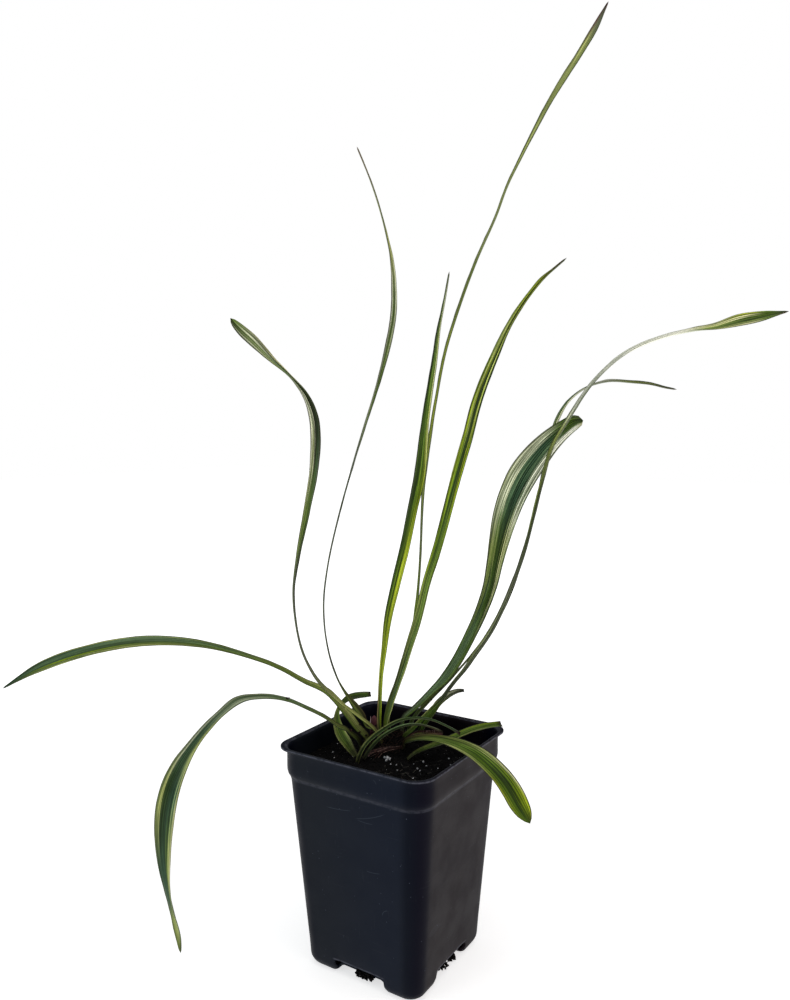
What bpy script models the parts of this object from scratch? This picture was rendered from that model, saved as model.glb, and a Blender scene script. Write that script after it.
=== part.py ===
"""A variegated lilyturf in its square nursery pot, built piece by piece.

The pot stands on the ground plane with its middle at the origin and its walls square
to X and Y. Sizes below are millimetres and are turned into metres where meshes are made.
Each blade lies in, or close to, an upright plane of its own. It is given by its foot on
the potting mix, the compass heading of that plane, and a few stations along its midrib.
"""

import math

import bmesh
import bpy
import numpy as np
from mathutils import Matrix, Vector, noise

MM = 0.001

# Driving sizes of the pot
POT_HEIGHT = 120.0
LIP_HALF = 46.0
BAND_HALF = 44.1
BODY_TOP_HALF = 42.5
BODY_FOOT_HALF = 34.6
WALL = 1.2
LIP_UNDERSIDE = POT_HEIGHT - WALL
SHOULDER_HEIGHT = 102.4
FOOT_LIFT = 4.2
FOOT_INNER = 11.5
FOOT_OUTER = 17.2
CORNER_STEPS = 4
PANEL_RING_HALF = 20.0
PANEL_RING_CORNER = 1.4
RAISED_RING_HALF = 13.0
PANEL_STOP = 7.5
SLOT_LENGTH = 31.0
SLOT_DEPTH = 4.6
SLOT_TOP = 8.3
SLOT_HEIGHT = 9.3
SLOT_CORNER = 1.8

# Driving sizes of the potting mix
SOIL_LEVEL = 108.0
SOIL_GAP = 0.4
BASE_CLEAR = 0.6
EDGE_SINK = 0.6
MOUND_HEIGHT = 3.0
MOUND_SPREAD = 14.0
MOUND_CENTRE = (-9.0, 8.0)
CRUMB_HEIGHT = 0.7
CRUMB_SIZE = 5.5

# Driving sizes of the blades
BLADE_THICKNESS = 0.7
BLADE_ACROSS = 4
ROOT_DEPTH = 7.0
ROOT_UPRIGHT = 1.6
BASE_FOLD = 0.28
FOLD_FADE = 30.0
FOLD_CURVE = 1.4
FOLD_CENTRE = 0.45
HOLE_SIDES = 12
HOLE_CLEAR = 1.0
HOLE_LIP = 0.35
HOLE_REACH = 6.0
HOLE_BELOW = 0.6
HOLE_ROUNDING = 1.5
FOLD_RISE = 0.55

# The surface root beside the crown
ROOT_RADIUS = 1.1
ROOT_GROOVE = 0.4
ROOT_RINGS = 14
SURFACE_ROOT = (
    (-15.5, -8.2, 105.4),
    (-13.6, -5.4, 108.4),
    (-11.0, -1.8, 109.9),
    (-7.5, 1.0, 110.6),
    (-4.8, 2.8, 109.6),
    (-3.2, 4.0, 106.8),
)

# Finishes: a roughness for each kind of surface, and colours as linear light
PLASTIC_ROUGHNESS = 0.38
PEAT_ROUGHNESS = 0.95
BLADE_ROUGHNESS = 0.45
ROOT_ROUGHNESS = 0.8
POT_BLACK = (0.012, 0.014, 0.019)
PEAT_BLACK = (0.012, 0.009, 0.007)
LEAF_GREEN = (0.09, 0.17, 0.035)
OLIVE_GREEN = (0.14, 0.20, 0.045)
DARK_GREEN = (0.035, 0.075, 0.028)
BUD_PURPLE = (0.17, 0.04, 0.05)
SHEATH_BROWN = (0.20, 0.11, 0.06)
ROOT_BROWN = (0.11, 0.06, 0.04)

# One blade a row: name, colour, foot (x, y), heading, fold, rings, and stations.
# A station is (reach, height, width, turn) in the blade's upright plane, and a fifth
# value is how far it strays to the left of that plane. Turn rolls the blade about its
# midrib: 0 faces it straight up and a positive turn lowers its left edge.
BLADES = (
    (
        "leaf_far_left", LEAF_GREEN, (-17.4, 3.1), 216.5, 0.10, 22,
        (
            (0, None, 3.9, 50), (4, 117, 3.9, 52), (7.5, 120.5, 4.3, 54),
            (11, 125.5, 4.7, 54), (15, 131, 4.8, 50), (19, 136, 4.7, 44),
            (23.5, 140.7, 4.8, 36), (36, 147.1, 4.2, 24), (49, 154.7, 5, 14),
            (70, 163, 6.5, 8), (90, 168.5, 7.5, 16), (119, 171, 8.3, 28),
            (148.5, 167, 7.2, 44), (177, 157.5, 5.4, 57), (195.5, 147, 1, 40),
        ),
    ),
    (
        "leaf_left_weeping", LEAF_GREEN, (-18.4, -4.6), 260.5, 0.13, 24,
        (
            (0, None, 5, 50), (2.5, 116, 5, 48), (8, 121, 3.9, 44), (11.5, 124.5, 4, 40),
            (17.5, 128, 4.2, 36), (22.5, 132, 4.3, 34), (28.5, 136.5, 4.4, 32),
            (38, 142.5, 4.3, 29), (52.5, 150.8, 5.3, 20), (69, 156.2, 7.2, 8),
            (81.2, 157.4, 7.8, 3), (91, 153.8, 7.6, -6), (99.3, 149, 7.6, -4),
            (106.6, 143.3, 7.8, 2), (113.3, 136.3, 8.7, 18), (118.2, 128.4, 9.3, 30),
            (121, 120.2, 9.5, 34), (122.4, 111.7, 8.8, 36), (123, 103, 7.5, 36),
            (122.8, 94.5, 6.6, 23), (122.1, 86, 5.9, 6), (121, 78.2, 5.8, -8),
            (119.6, 71.6, 5.5, -9), (117.2, 60.7, 4.8, 4), (116.3, 53.7, 2.9, 6),
            (116, 50, 1, 8),
        ),
    ),
    (
        "leaf_left_curled", LEAF_GREEN, (-9.5, 3.8), 232.5, 0.12, 24,
        (
            (0, None, 3.8, 30), (4, 119, 3.8, 28), (8, 124, 3.7, 26),
            (12.5, 128, 3.5, 26), (16.5, 131.5, 3.2, 28), (23, 137, 2.8, 34),
            (28, 142, 3.4, 38), (36.5, 151.5, 3.2, 34), (44, 166, 3.5, 25),
            (48, 184, 3.4, 23), (49, 201, 4, 30), (46.5, 219, 4.8, 42),
            (41.5, 243, 5.8, 54), (37.5, 265, 6.6, 61), (36.7, 280, 7.1, 62),
            (37.2, 287.9, 7, 60), (39, 294.8, 6.5, 55), (42, 301.3, 5.8, 46),
            (45.7, 306.2, 5.5, 34), (49.1, 310.2, 5.2, 26), (53.1, 313.8, 5.6, 32),
            (58, 317.9, 6, 42), (62.6, 322.3, 6.4, 56), (68.2, 327.8, 6.5, 70),
            (73.6, 332.6, 5.5, 76), (76.9, 336, 3.6, 78), (78.6, 338.2, 1.4, 78),
        ),
    ),
    (
        "leaf_tall_left", DARK_GREEN, (-17.7, 14.8), 204.5, 0.14, 26,
        (
            (0, None, 4.8, 10), (3.5, 115.5, 4.8, 10), (9, 117, 3.5, 14),
            (11.5, 122.5, 5, 22), (15.5, 127.5, 5.5, 24), (19.5, 133, 3.7, 16),
            (23.5, 139.5, 2.2, 6), (28, 150, 2.2, 0), (32, 167.5, 2, -4),
            (33, 187, 2.9, -7), (30, 210, 2.9, -8), (24.5, 233.5, 3.1, -7),
            (16.5, 261.5, 3.3, -4), (9, 286, 3.8, 6), (1, 311, 4, 24),
            (-3.5, 328, 4.4, 38), (-6.5, 343.5, 4.4, 41), (-7, 359, 4.4, 36),
            (-6, 372.5, 4, 22), (-3, 388.5, 3.3, 3), (5, 415, 2.1, -5),
            (12.5, 433, 0.9, 30),
        ),
    ),
    (
        "leaf_centre", LEAF_GREEN, (-15.9, 10.0), 27.5, 0.14, 20,
        (
            (0, None, 3.6, -50), (-0.5, 120, 3.6, -52), (0, 137, 3.1, -54),
            (1, 152.5, 3.1, -60), (2, 160, 3.4, -66), (4.5, 180, 4.5, -76),
            (9, 200, 5.4, -76), (14, 220, 6, -67), (18, 239.5, 6.5, -62),
            (22, 258.5, 7.3, -61), (25, 286, 6.3, -48), (27.5, 303, 6.8, -37),
            (30, 319, 6, -35), (32, 335, 4.8, -30), (35, 351, 3.4, -21),
            (37.5, 366, 1, -35),
        ),
    ),
    (
        "leaf_tallest", OLIVE_GREEN, (-12.4, 16.4), 47.5, 0.14, 26,
        (
            (0, None, 3.6, -20), (-2, 122, 3.4, -14), (-1.5, 126.5, 3.4, -14),
            (0, 132.5, 3.4, -14), (2.5, 139.5, 3.4, -14), (6.5, 150, 3.4, -14),
            (9.5, 161, 3.4, -14), (12.3, 172, 3.4, -14), (14.6, 188, 3.4, -12),
            (16.6, 213.5, 3.4, -2), (17.4, 233.5, 3.6, -4), (18.6, 253, 4, -13),
            (22, 278, 4.2, -12), (25.5, 299, 4.2, -5), (31.5, 328, 4.5, -4),
            (37.5, 346.5, 4.4, -6), (49, 376.5, 4.7, -3), (60, 400.5, 4.6, 4),
            (66, 416, 4.6, 4), (74.5, 432.5, 4.8, -6), (82.5, 447.5, 5, -16),
            (90.5, 462, 4.8, -25), (99.5, 476.5, 4.6, -40), (108, 489.5, 3.9, -56),
            (117.5, 505, 3.9, -56), (125.5, 520, 1, -30),
        ),
    ),
    (
        "leaf_centre_right", OLIVE_GREEN, (-10.4, 8.8), 10.5, 0.14, 22,
        (
            (0, None, 3.8, -55), (-1, 120.5, 3.8, -60), (1.5, 132, 4.9, -66),
            (6, 145, 4.4, -70), (10.2, 157.5, 4.8, -74), (12, 163.5, 4.8, -77),
            (17.9, 182, 5.3, -76), (23, 202, 5.4, -74), (29.1, 221, 5.9, -72),
            (34.5, 240.5, 6.3, -72), (39.5, 259, 6.4, -74), (46, 281, 6.6, -74),
            (50, 296, 6.7, -71), (60.5, 322, 5.8, -62), (65.5, 332.5, 5.4, -52),
            (72, 343, 5.2, -45), (78.5, 351.5, 4.4, -44), (83.5, 357, 4.3, -42),
            (88.5, 361, 2.9, -34), (95, 366, 1, -45),
        ),
    ),
    (
        "leaf_broad_right", LEAF_GREEN, (-5.8, 16.5), 36.5, 0.12, 22,
        (
            (0, None, 3.8, -30), (0, 118, 4.6, -30), (1, 124, 3.8, -32),
            (5.5, 128, 3.8, -34), (10.5, 132.5, 4.2, -36), (16.5, 138.5, 4.5, -38),
            (23.4, 145.2, 6.2, -42), (30.3, 155, 6.9, -45), (37, 167.6, 7.1, -48),
            (43.9, 182.7, 7.8, -50), (48.9, 197.3, 8.8, -52), (51.5, 210.4, 10, -55),
            (53.9, 222.7, 12, -58), (56.7, 234.6, 14.1, -62), (61, 247.3, 15.4, -67),
            (67, 259.2, 16.2, -70), (73.8, 268.6, 15, -70), (82.1, 277.6, 12.4, -67),
            (90.3, 284.2, 10, -62), (95.4, 287.2, 8.4, -58), (98.2, 287.8, 5.4, -57),
            (99.4, 288, 2, -56),
        ),
    ),
    (
        "leaf_long_right", LEAF_GREEN, (-2.2, 12.8), 28.5, 0.14, 26,
        (
            (0, None, 2.7, -50), (0, 115, 2.7, -50), (4.2, 119, 2.7, -50),
            (8.3, 123.5, 2.8, -48), (12.4, 128, 2.9, -44), (17.2, 133, 3, -40),
            (21.6, 138, 3, -36), (24.6, 142.5, 2.9, -34), (29.2, 148.5, 3, -34),
            (32.8, 153, 3.2, -36), (40, 164, 3.8, -40), (45.5, 172, 3.8, -37),
            (52.5, 185.5, 4, -33), (58, 199, 4, -28), (63, 213, 4.4, -22),
            (73, 253, 4.6, -19), (79, 275, 5, -21), (87, 289, 5, -20),
            (100, 308.5, 5, -16), (118, 324, 6, -14), (130.5, 329.5, 6.5, -12),
            (149, 334, 7, -17), (161.5, 335.5, 7.5, -33), (173, 338.5, 8.3, -51),
            (183.5, 340.5, 6.2, -59), (197, 343, 1, -40),
        ),
    ),
    (
        "leaf_hooked_right", OLIVE_GREEN, (-4.5, 22.0), 41.5, 0.14, 22,
        (
            (0, None, 3.2, -30), (0.5, 118, 3.2, -30), (5.5, 126, 3, -30),
            (8.5, 129, 2.9, -30), (14.5, 135, 2.6, -28), (21, 141, 1.8, -28),
            (27.5, 148, 1.6, -28), (36, 157.5, 1.6, -30), (42, 164.5, 2.2, -33),
            (52.5, 181, 3.7, -26), (66, 216.5, 4, -12), (74.5, 249.5, 4.6, -7),
            (80.5, 277, 4.8, -14), (83.5, 287, 5, -14), (91.5, 300, 4.8, -2),
            (100.5, 306.5, 3.6, 0), (112.5, 310, 5, -12), (128, 309.5, 4.8, -21),
            (139, 308.5, 4.4, -26), (148, 306.5, 3, -27), (154.5, 305.5, 1, -40),
        ),
    ),
    (
        "leaf_over_rim", LEAF_GREEN, (0.6, 6.7), 345.5, 0.16, 20,
        (
            (0, None, 4.2, -48), (2, 115, 4.5, -48), (7.5, 118, 4.8, -40),
            (13.5, 120.5, 5, -30), (21, 122.5, 5.6, -22), (28.5, 123.8, 6.4, -19),
            (37, 124.6, 7.4, -18), (46, 124.4, 8.6, -18), (53.5, 123.4, 9.6, -18),
            (61, 121, 10.4, -17), (67.3, 118, 10.6, -16), (72, 115, 10.8, -17),
            (76.5, 111, 10.8, -19), (80.5, 106.5, 10, -23), (84.5, 102.5, 7.2, -21),
            (87.5, 99.5, 2, -10),
        ),
    ),
    (
        "leaf_to_corner", LEAF_GREEN, (9.1, -1.3), 48.0, 0.12, 12,
        (
            (0, None, 3.9, 5), (2, 111, 3.9, 0), (7, 113.5, 4.3, -6), (12, 115, 4.5, -10),
            (18, 116.5, 4.6, -14), (26, 119, 4.8, -18), (33.5, 121.5, 4.7, -22),
            (40.5, 123, 4.3, -26), (47, 123.5, 4, -26), (53, 123.5, 4.4, -22),
        ),
    ),
    (
        "leaf_front_arch", DARK_GREEN, (-12.4, -16.8), 37.5, 0.18, 14,
        (
            (0, None, 3.2, -30), (1, 112, 3.2, -30), (3.5, 117, 3, -30),
            (7.5, 121.5, 3, -28), (13.5, 126, 2.9, -26), (22.5, 130.5, 2.5, -22),
            (28, 131.5, 2, -20), (33, 131.5, 1.9, -18), (38.5, 130.5, 1.9, -18),
            (44.5, 128, 1.9, -20), (50, 125, 2, -24), (54.5, 122, 2.6, -28),
        ),
    ),
    (
        "leaf_front_arch_inner", DARK_GREEN, (-11.9, -11.6), 38.5, 0.18, 12,
        (
            (0, None, 2.7, -32), (4, 115, 2.7, -28), (11, 121.5, 2.6, -25),
            (19.5, 125.5, 2.5, -18), (28, 126.5, 2, -18), (36, 124.5, 1.9, -16),
            (42, 121.5, 2.4, -28),
        ),
    ),
    (
        "leaf_left_hook", DARK_GREEN, (-17.7, -11.3), 122.5, 0.12, 18,
        (
            (0, None, 3.2, 0, 0), (1.6, 111.5, 4, 0, 2), (3.2, 114.5, 5.4, 0, 4.4),
            (6, 118, 6, 0, 7.7), (9.5, 122, 5.2, -4, 10), (13.5, 125, 3.6, -8, 11),
            (18, 127.5, 2.4, -14, 10.9), (22.5, 129.7, 2.6, -24, 9.3),
            (26.5, 131.1, 3.3, -32, 7), (29.5, 131.8, 4, -36, 4.4),
            (31.5, 132, 4.3, -38, 0.8), (33, 132, 4.2, -38, -3.2),
            (34, 132, 3.4, -38, -7.1),
        ),
    ),
    (
        "leaf_cut_short", DARK_GREEN, (1.0, 20.8), 42.5, 0.14, 10,
        (
            (0, None, 3.6, -45), (2.6, 117, 3.7, -45), (5.3, 122, 4, -45),
            (9.1, 127, 4.1, -45), (12.8, 132, 4.1, -44), (16.6, 135, 3.9, -44),
            (20.3, 137, 3.3, -44), (24, 138, 2.6, -44), (27, 138, 1.8, -42),
        ),
    ),
    (
        "young_shoot", BUD_PURPLE, (-25.4, 17.6), 212.5, 0.34, 8,
        (
            (0, None, 3.4, 0), (0.3, 114, 3.8, 0), (0.8, 120, 3.2, 0),
            (1.2, 124, 1.2, 0),
        ),
    ),
    (
        "torn_sheath", SHEATH_BROWN, (-3.0, 9.8), 358.0, 0.30, 12,
        (
            (0, None, 2.4, -50), (2.7, 114, 2.4, -54), (6, 117, 2.4, -58),
            (9.5, 119.5, 2.5, -60), (15.5, 121.5, 2.4, -62), (21, 122.5, 2.2, -62),
            (27.5, 123.5, 1.6, -55),
        ),
    ),
)


def clear_scene():
    for thing in list(bpy.data.objects):
        bpy.data.objects.remove(thing, do_unlink=True)


def new_collection(name):
    group = bpy.data.collections.new(name)
    bpy.context.scene.collection.children.link(group)
    return group


def finish(name, colour, roughness):
    """A plain Principled finish in the piece's own colour."""
    material = bpy.data.materials.new(name)
    material.use_nodes = True
    shader = material.node_tree.nodes["Principled BSDF"]
    shader.inputs["Base Color"].default_value = (*colour, 1.0)
    shader.inputs["Roughness"].default_value = roughness
    shader.inputs["Metallic"].default_value = 0.0
    material.diffuse_color = (*colour, 1.0)
    return material


def object_from(bm, name, group, material=None):
    """Turn a bmesh in millimetres into an object in metres."""
    bmesh.ops.scale(bm, vec=(MM, MM, MM), verts=bm.verts)
    mesh = bpy.data.meshes.new(name)
    bm.to_mesh(mesh)
    bm.free()
    piece = bpy.data.objects.new(name, mesh)
    if material:
        mesh.materials.append(material)
    group.objects.link(piece)
    return piece


def as_cutter(piece):
    piece.hide_render = True
    piece.display_type = "WIRE"


def cut_away(piece, cutter):
    """Subtract one object, or all objects of a collection, from a piece."""
    modifier = piece.modifiers.new("cut_" + cutter.name, "BOOLEAN")
    modifier.operation = "DIFFERENCE"
    modifier.solver = "EXACT"
    if isinstance(cutter, bpy.types.Collection):
        modifier.operand_type = "COLLECTION"
        modifier.collection = cutter
    else:
        modifier.object = cutter


def ramp(value, low, high):
    """0 below low, 1 above high and an even S between them."""
    t = min(max((value - low) / (high - low), 0.0), 1.0)
    return t * t * (3.0 - 2.0 * t)


def foot_share(x, y, shift):
    """1 over a corner foot of the pot, 0 over the raised part of its base."""
    low = FOOT_INNER + shift
    high = FOOT_OUTER + shift
    return ramp(abs(x), low, high) * ramp(abs(y), low, high)


def base_height(x, y, shift=0.0):
    return FOOT_LIFT * (1.0 - foot_share(x, y, shift))


def body_half(height):
    """Half the width of the tapered body at a height."""
    share = height / SHOULDER_HEIGHT
    return BODY_FOOT_HALF + (BODY_TOP_HALF - BODY_FOOT_HALF) * share


def square_ring(half, corner, shift=0.0):
    """Points round a square with rounded corners, with stops where the feet begin."""
    if half < PANEL_RING_HALF + shift:
        outer = square_ring(PANEL_RING_HALF + shift, PANEL_RING_CORNER, shift)
        share = half / (PANEL_RING_HALF + shift)
        return [(x * share, y * share) for x, y in outer]
    grow = max(1.0, half / BODY_FOOT_HALF)
    inner = (FOOT_INNER + shift) * grow
    outer = (FOOT_OUTER + shift) * grow
    middle = PANEL_STOP * grow
    straight = half - min(corner, half - outer - 0.1)
    corner = half - straight
    stops = [-outer, -inner, -middle, middle, inner, outer]
    side = [(half, stop) for stop in [-straight, *stops, straight]]
    for step in range(1, CORNER_STEPS):
        angle = 0.5 * math.pi * step / CORNER_STEPS
        side.append((straight + corner * math.cos(angle), straight + corner * math.sin(angle)))
    ring = []
    for quarter in range(4):
        c = round(math.cos(0.5 * math.pi * quarter))
        s = round(math.sin(0.5 * math.pi * quarter))
        ring += [(x * c - y * s, x * s + y * c) for x, y in side]
    return ring


def loft(rings, close_first, close_last):
    """Skin a list of rings of (x, y, z) points, with each end open or drawn to a point."""
    bm = bmesh.new()
    rows = [[bm.verts.new(point) for point in ring] for ring in rings]
    count = len(rows[0])
    for upper, lower in zip(rows, rows[1:]):
        for i in range(count):
            j = (i + 1) % count
            bm.faces.new((upper[i], lower[i], lower[j], upper[j]))
    for row, wanted, turned in ((rows[0], close_first, False), (rows[-1], close_last, True)):
        if not wanted:
            continue
        centre = sum((vert.co for vert in row), Vector()) / count
        hub = bm.verts.new(centre)
        for i in range(count):
            j = (i + 1) % count
            trio = (hub, row[i], row[j]) if not turned else (hub, row[j], row[i])
            bm.faces.new(trio)
    return bm


def pot_wall_rows():
    """Outer rows of the pot from its lip to the top of its feet: height, half, corner."""
    return (
        (LIP_UNDERSIDE, LIP_HALF, 10.6),
        (LIP_UNDERSIDE, BAND_HALF + 1.1, 11.2),
        (LIP_UNDERSIDE - 0.5, BAND_HALF + 0.3, 11.8),
        (LIP_UNDERSIDE - 1.5, BAND_HALF, 12.0),
        (109.0, BAND_HALF, 12.0),
        (106.2, BAND_HALF - 0.2, 11.9),
        (104.2, BAND_HALF - 0.9, 11.8),
        (SHOULDER_HEIGHT + 0.6, BODY_TOP_HALF + 0.2, 11.4),
        (SHOULDER_HEIGHT - 0.6, body_half(SHOULDER_HEIGHT - 0.6), 11.5),
        (22.0, body_half(22.0), 9.0),
    )


def pot_edge_rows():
    """Rows round the foot edge and over the base: height above the base, half, corner."""
    return (
        (5.5, body_half(5.5), 8.2),
        (2.8, body_half(2.8) - 0.6, 7.8),
        (1.1, body_half(1.1) - 1.8, 7.2),
        (0.25, BODY_FOOT_HALF - 3.4, 6.4),
        (0.0, BODY_FOOT_HALF - 5.2, 5.4),
        (0.0, 24.0, 4.0),
        (0.0, PANEL_RING_HALF, PANEL_RING_CORNER),
        (0.0, RAISED_RING_HALF, 0.0),
        (0.0, 8.0, 0.0),
    )


def make_slot():
    """The arched drain slot at the foot of the +X wall, open at the bottom."""
    slot = bmesh.new()
    bmesh.ops.create_cube(slot, size=1.0)
    bmesh.ops.scale(slot, vec=(SLOT_DEPTH, SLOT_LENGTH, SLOT_HEIGHT), verts=slot.verts)
    upper = [
        edge for edge in slot.edges
        if all(vert.co.z > 0.0 for vert in edge.verts) and edge.verts[0].co.y == edge.verts[1].co.y
    ]
    bmesh.ops.bevel(slot, geom=upper, offset=SLOT_CORNER, segments=3, profile=0.5, affect="EDGES")
    reach = body_half(FOOT_LIFT) + 1.0 - 0.5 * SLOT_DEPTH
    bmesh.ops.translate(slot, vec=(reach, 0.0, SLOT_TOP - 0.5 * SLOT_HEIGHT), verts=slot.verts)
    return slot


def make_pot(group, cutters):
    """The pot is its outer skin, thickened inwards, with a drain slot under each side."""
    rings = [[(x, y, z) for x, y in square_ring(half, corner)] for z, half, corner in pot_wall_rows()]
    for lift, half, corner in pot_edge_rows():
        ring = square_ring(half, corner)
        rings.append([(x, y, base_height(x, y) + lift) for x, y in ring])
    bm = loft(rings, close_first=False, close_last=True)
    pot = object_from(bm, "pot", group, finish("pot_plastic", POT_BLACK, PLASTIC_ROUGHNESS))
    shell = pot.modifiers.new("wall", "SOLIDIFY")
    shell.thickness = WALL * MM
    shell.offset = -1.0
    shell.use_even_offset = True
    for number, angle in enumerate((0, 90, 180, 270)):
        slot = make_slot()
        bmesh.ops.rotate(slot, matrix=Matrix.Rotation(math.radians(angle), 3, "Z"), verts=slot.verts)
        cutter = object_from(slot, f"drain_slot_cutter_{number}", cutters)
        as_cutter(cutter)
        cut_away(pot, cutter)
    pot.data.shade_smooth()
    pot.data.set_sharp_from_angle(angle=math.radians(40))
    return pot


def soil_height(x, y):
    """The level of the potting mix: nearly flat, crumbly, and mounded round the crown."""
    away = ((x - MOUND_CENTRE[0]) ** 2 + (y - MOUND_CENTRE[1]) ** 2) / (2 * MOUND_SPREAD**2)
    crumbs = noise.noise(Vector((x / CRUMB_SIZE, y / CRUMB_SIZE, 3.7)))
    return SOIL_LEVEL + MOUND_HEIGHT * math.exp(-away) + CRUMB_HEIGHT * crumbs


def make_soil(group):
    """The mix fills the pot from its raised base and its feet to below the lip."""
    inside = WALL + SOIL_GAP
    foot_shift = WALL + BASE_CLEAR
    rings = []
    for half in (3.0, 7.0, 11.0, 15.0, 19.5, 24.0, 28.0, 32.0, 36.0, 39.5):
        ring = square_ring(half, max(PANEL_RING_CORNER, 0.27 * half - 2.0), foot_shift)
        rings.append([(x, y, soil_height(x, y)) for x, y in ring])
    top_half = BAND_HALF - inside
    ring = square_ring(top_half, 10.8, foot_shift)
    rings.append([(x, y, soil_height(x, y) - EDGE_SINK) for x, y in ring])
    for height, half, corner in (
        (106.0, BAND_HALF - 0.6, 10.8),
        (104.0, BAND_HALF - 1.4, 10.8),
        (SHOULDER_HEIGHT, BODY_TOP_HALF - 0.3, 10.6),
        (25.0, body_half(25.0), 8.0),
    ):
        rings.append([(x, y, height) for x, y in square_ring(half - inside, corner, foot_shift)])
    rise = WALL + BASE_CLEAR
    for lift, inset, corner in ((6.0, 0.3, 6.6), (2.4, 1.4, 6.0), (0.3, 3.6, 5.2), (0.0, 5.4, 4.0)):
        half = body_half(lift) - inside - inset
        ring = square_ring(half, corner, foot_shift)
        rings.append([(x, y, base_height(x, y, foot_shift) + rise + lift) for x, y in ring])
    for half in (PANEL_RING_HALF, RAISED_RING_HALF):
        ring = square_ring(half + foot_shift, PANEL_RING_CORNER, foot_shift)
        rings.append([(x, y, base_height(x, y, foot_shift) + rise) for x, y in ring])
    bm = loft(rings, close_first=True, close_last=True)
    return object_from(bm, "potting_mix", group, finish("peat", PEAT_BLACK, PEAT_ROUGHNESS))


def smooth_rows(rows, count):
    """Pass a smooth curve through rows of numbers, spaced evenly along the first three."""
    rows = np.array(rows, float)
    steps = np.linalg.norm(np.diff(rows[:, :3], axis=0), axis=1)
    at = np.concatenate([[0.0], np.cumsum(steps)])
    slope = np.gradient(rows, at, axis=0)
    wanted = np.linspace(0.0, at[-1], count)
    left = np.clip(np.searchsorted(at, wanted, side="right") - 1, 0, len(at) - 2)
    gap = (at[left + 1] - at[left])[:, None]
    t = (wanted[:, None] - at[left][:, None]) / gap
    start = (2 * t**3 - 3 * t**2 + 1) * rows[left] + (t**3 - 2 * t**2 + t) * gap * slope[left]
    end = (3 * t**2 - 2 * t**3) * rows[left + 1] + (t**3 - t**2) * gap * slope[left + 1]
    return start + end, wanted


def blade_frames(foot, heading, stations, rings):
    """Midrib points of a blade with its width, turn, run and local axes."""
    ahead = Vector((math.cos(math.radians(heading)), math.sin(math.radians(heading)), 0.0))
    left = Vector((-ahead.y, ahead.x, 0.0))
    ground = soil_height(*foot)
    rows = []
    for station in stations:
        reach, height, width, turn = station[:4]
        stray = station[4] if len(station) > 4 else 0.0
        rows.append((reach, stray, ground if height is None else height, width, turn))
    rows, run = smooth_rows(rows, rings)
    points = [Vector((*foot, 0.0)) + ahead * r[0] + left * r[1] + Vector((0, 0, r[2])) for r in rows]
    frames = []
    for i, point in enumerate(points):
        before = points[max(i - 1, 0)]
        after = points[min(i + 1, rings - 1)]
        along = (after - before).normalized()
        across = (left - along * left.dot(along)).normalized()
        across = Matrix.Rotation(math.radians(-rows[i][4]), 3, along) @ across
        frames.append((point, along, across, rows[i][3], run[i]))
    point, along, across, width, _ = frames[0]
    down = (along + Vector((0.0, 0.0, ROOT_UPRIGHT))).normalized()
    across = (across - down * across.dot(down)).normalized()
    frames.insert(0, (point - down * ROOT_DEPTH, down, across, width, 0.0))
    return frames


def fold_at(run, blade_fold):
    """A blade is a deep channel at its base and flattens along its length."""
    return blade_fold + (BASE_FOLD - blade_fold) * math.exp(-run / FOLD_FADE)


def make_blade(name, colour, foot, heading, fold, rings, stations, group, holes):
    """A keeled blade: a grid laid along the midrib frames, then given its thickness."""
    frames = blade_frames(foot, heading, stations, rings)
    bm = bmesh.new()
    bmesh.ops.create_grid(bm, x_segments=BLADE_ACROSS, y_segments=len(frames) - 1, size=1.0)
    for vert in bm.verts:
        side = vert.co.x
        row = round((vert.co.y + 1.0) / 2.0 * (len(frames) - 1))
        point, along, across, width, run = frames[row]
        up = along.cross(across)
        lift = fold_at(run, fold) * width * (abs(side) ** FOLD_CURVE - FOLD_CENTRE)
        vert.co = point + across * (0.5 * width * side) + up * lift
    bmesh.ops.triangulate(bm, faces=bm.faces, quad_method="FIXED")
    blade = object_from(bm, name, group, finish(name + "_green", colour, BLADE_ROUGHNESS))
    skin = blade.modifiers.new("thickness", "SOLIDIFY")
    skin.thickness = BLADE_THICKNESS * MM
    skin.offset = 0.0
    blade.data.shade_smooth()
    make_hole(name, frames[0], fold, holes)
    return blade


def make_hole(name, root, fold, holes):
    """The plain oval hole in the mix that a blade's root stands in."""
    point, along, across, width, _ = root
    up = along.cross(across)
    depth = fold_at(0.0, fold) * width
    half_width = 0.5 * width + HOLE_CLEAR
    half_depth = HOLE_ROUNDING * (FOLD_RISE * depth + 0.5 * BLADE_THICKNESS) + HOLE_LIP
    length = ROOT_DEPTH + HOLE_BELOW + HOLE_REACH
    bm = bmesh.new()
    bmesh.ops.create_cone(
        bm, cap_ends=True, segments=HOLE_SIDES, radius1=1.0, radius2=1.0, depth=1.0
    )
    bmesh.ops.scale(bm, vec=(half_width, half_depth, length), verts=bm.verts)
    turn = Matrix((across, up, along)).transposed()
    bmesh.ops.rotate(bm, matrix=turn, verts=bm.verts)
    middle = point + along * (0.5 * length - HOLE_BELOW)
    bmesh.ops.translate(bm, vec=middle, verts=bm.verts)
    as_cutter(object_from(bm, name + "_hole_cutter", holes))


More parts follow.
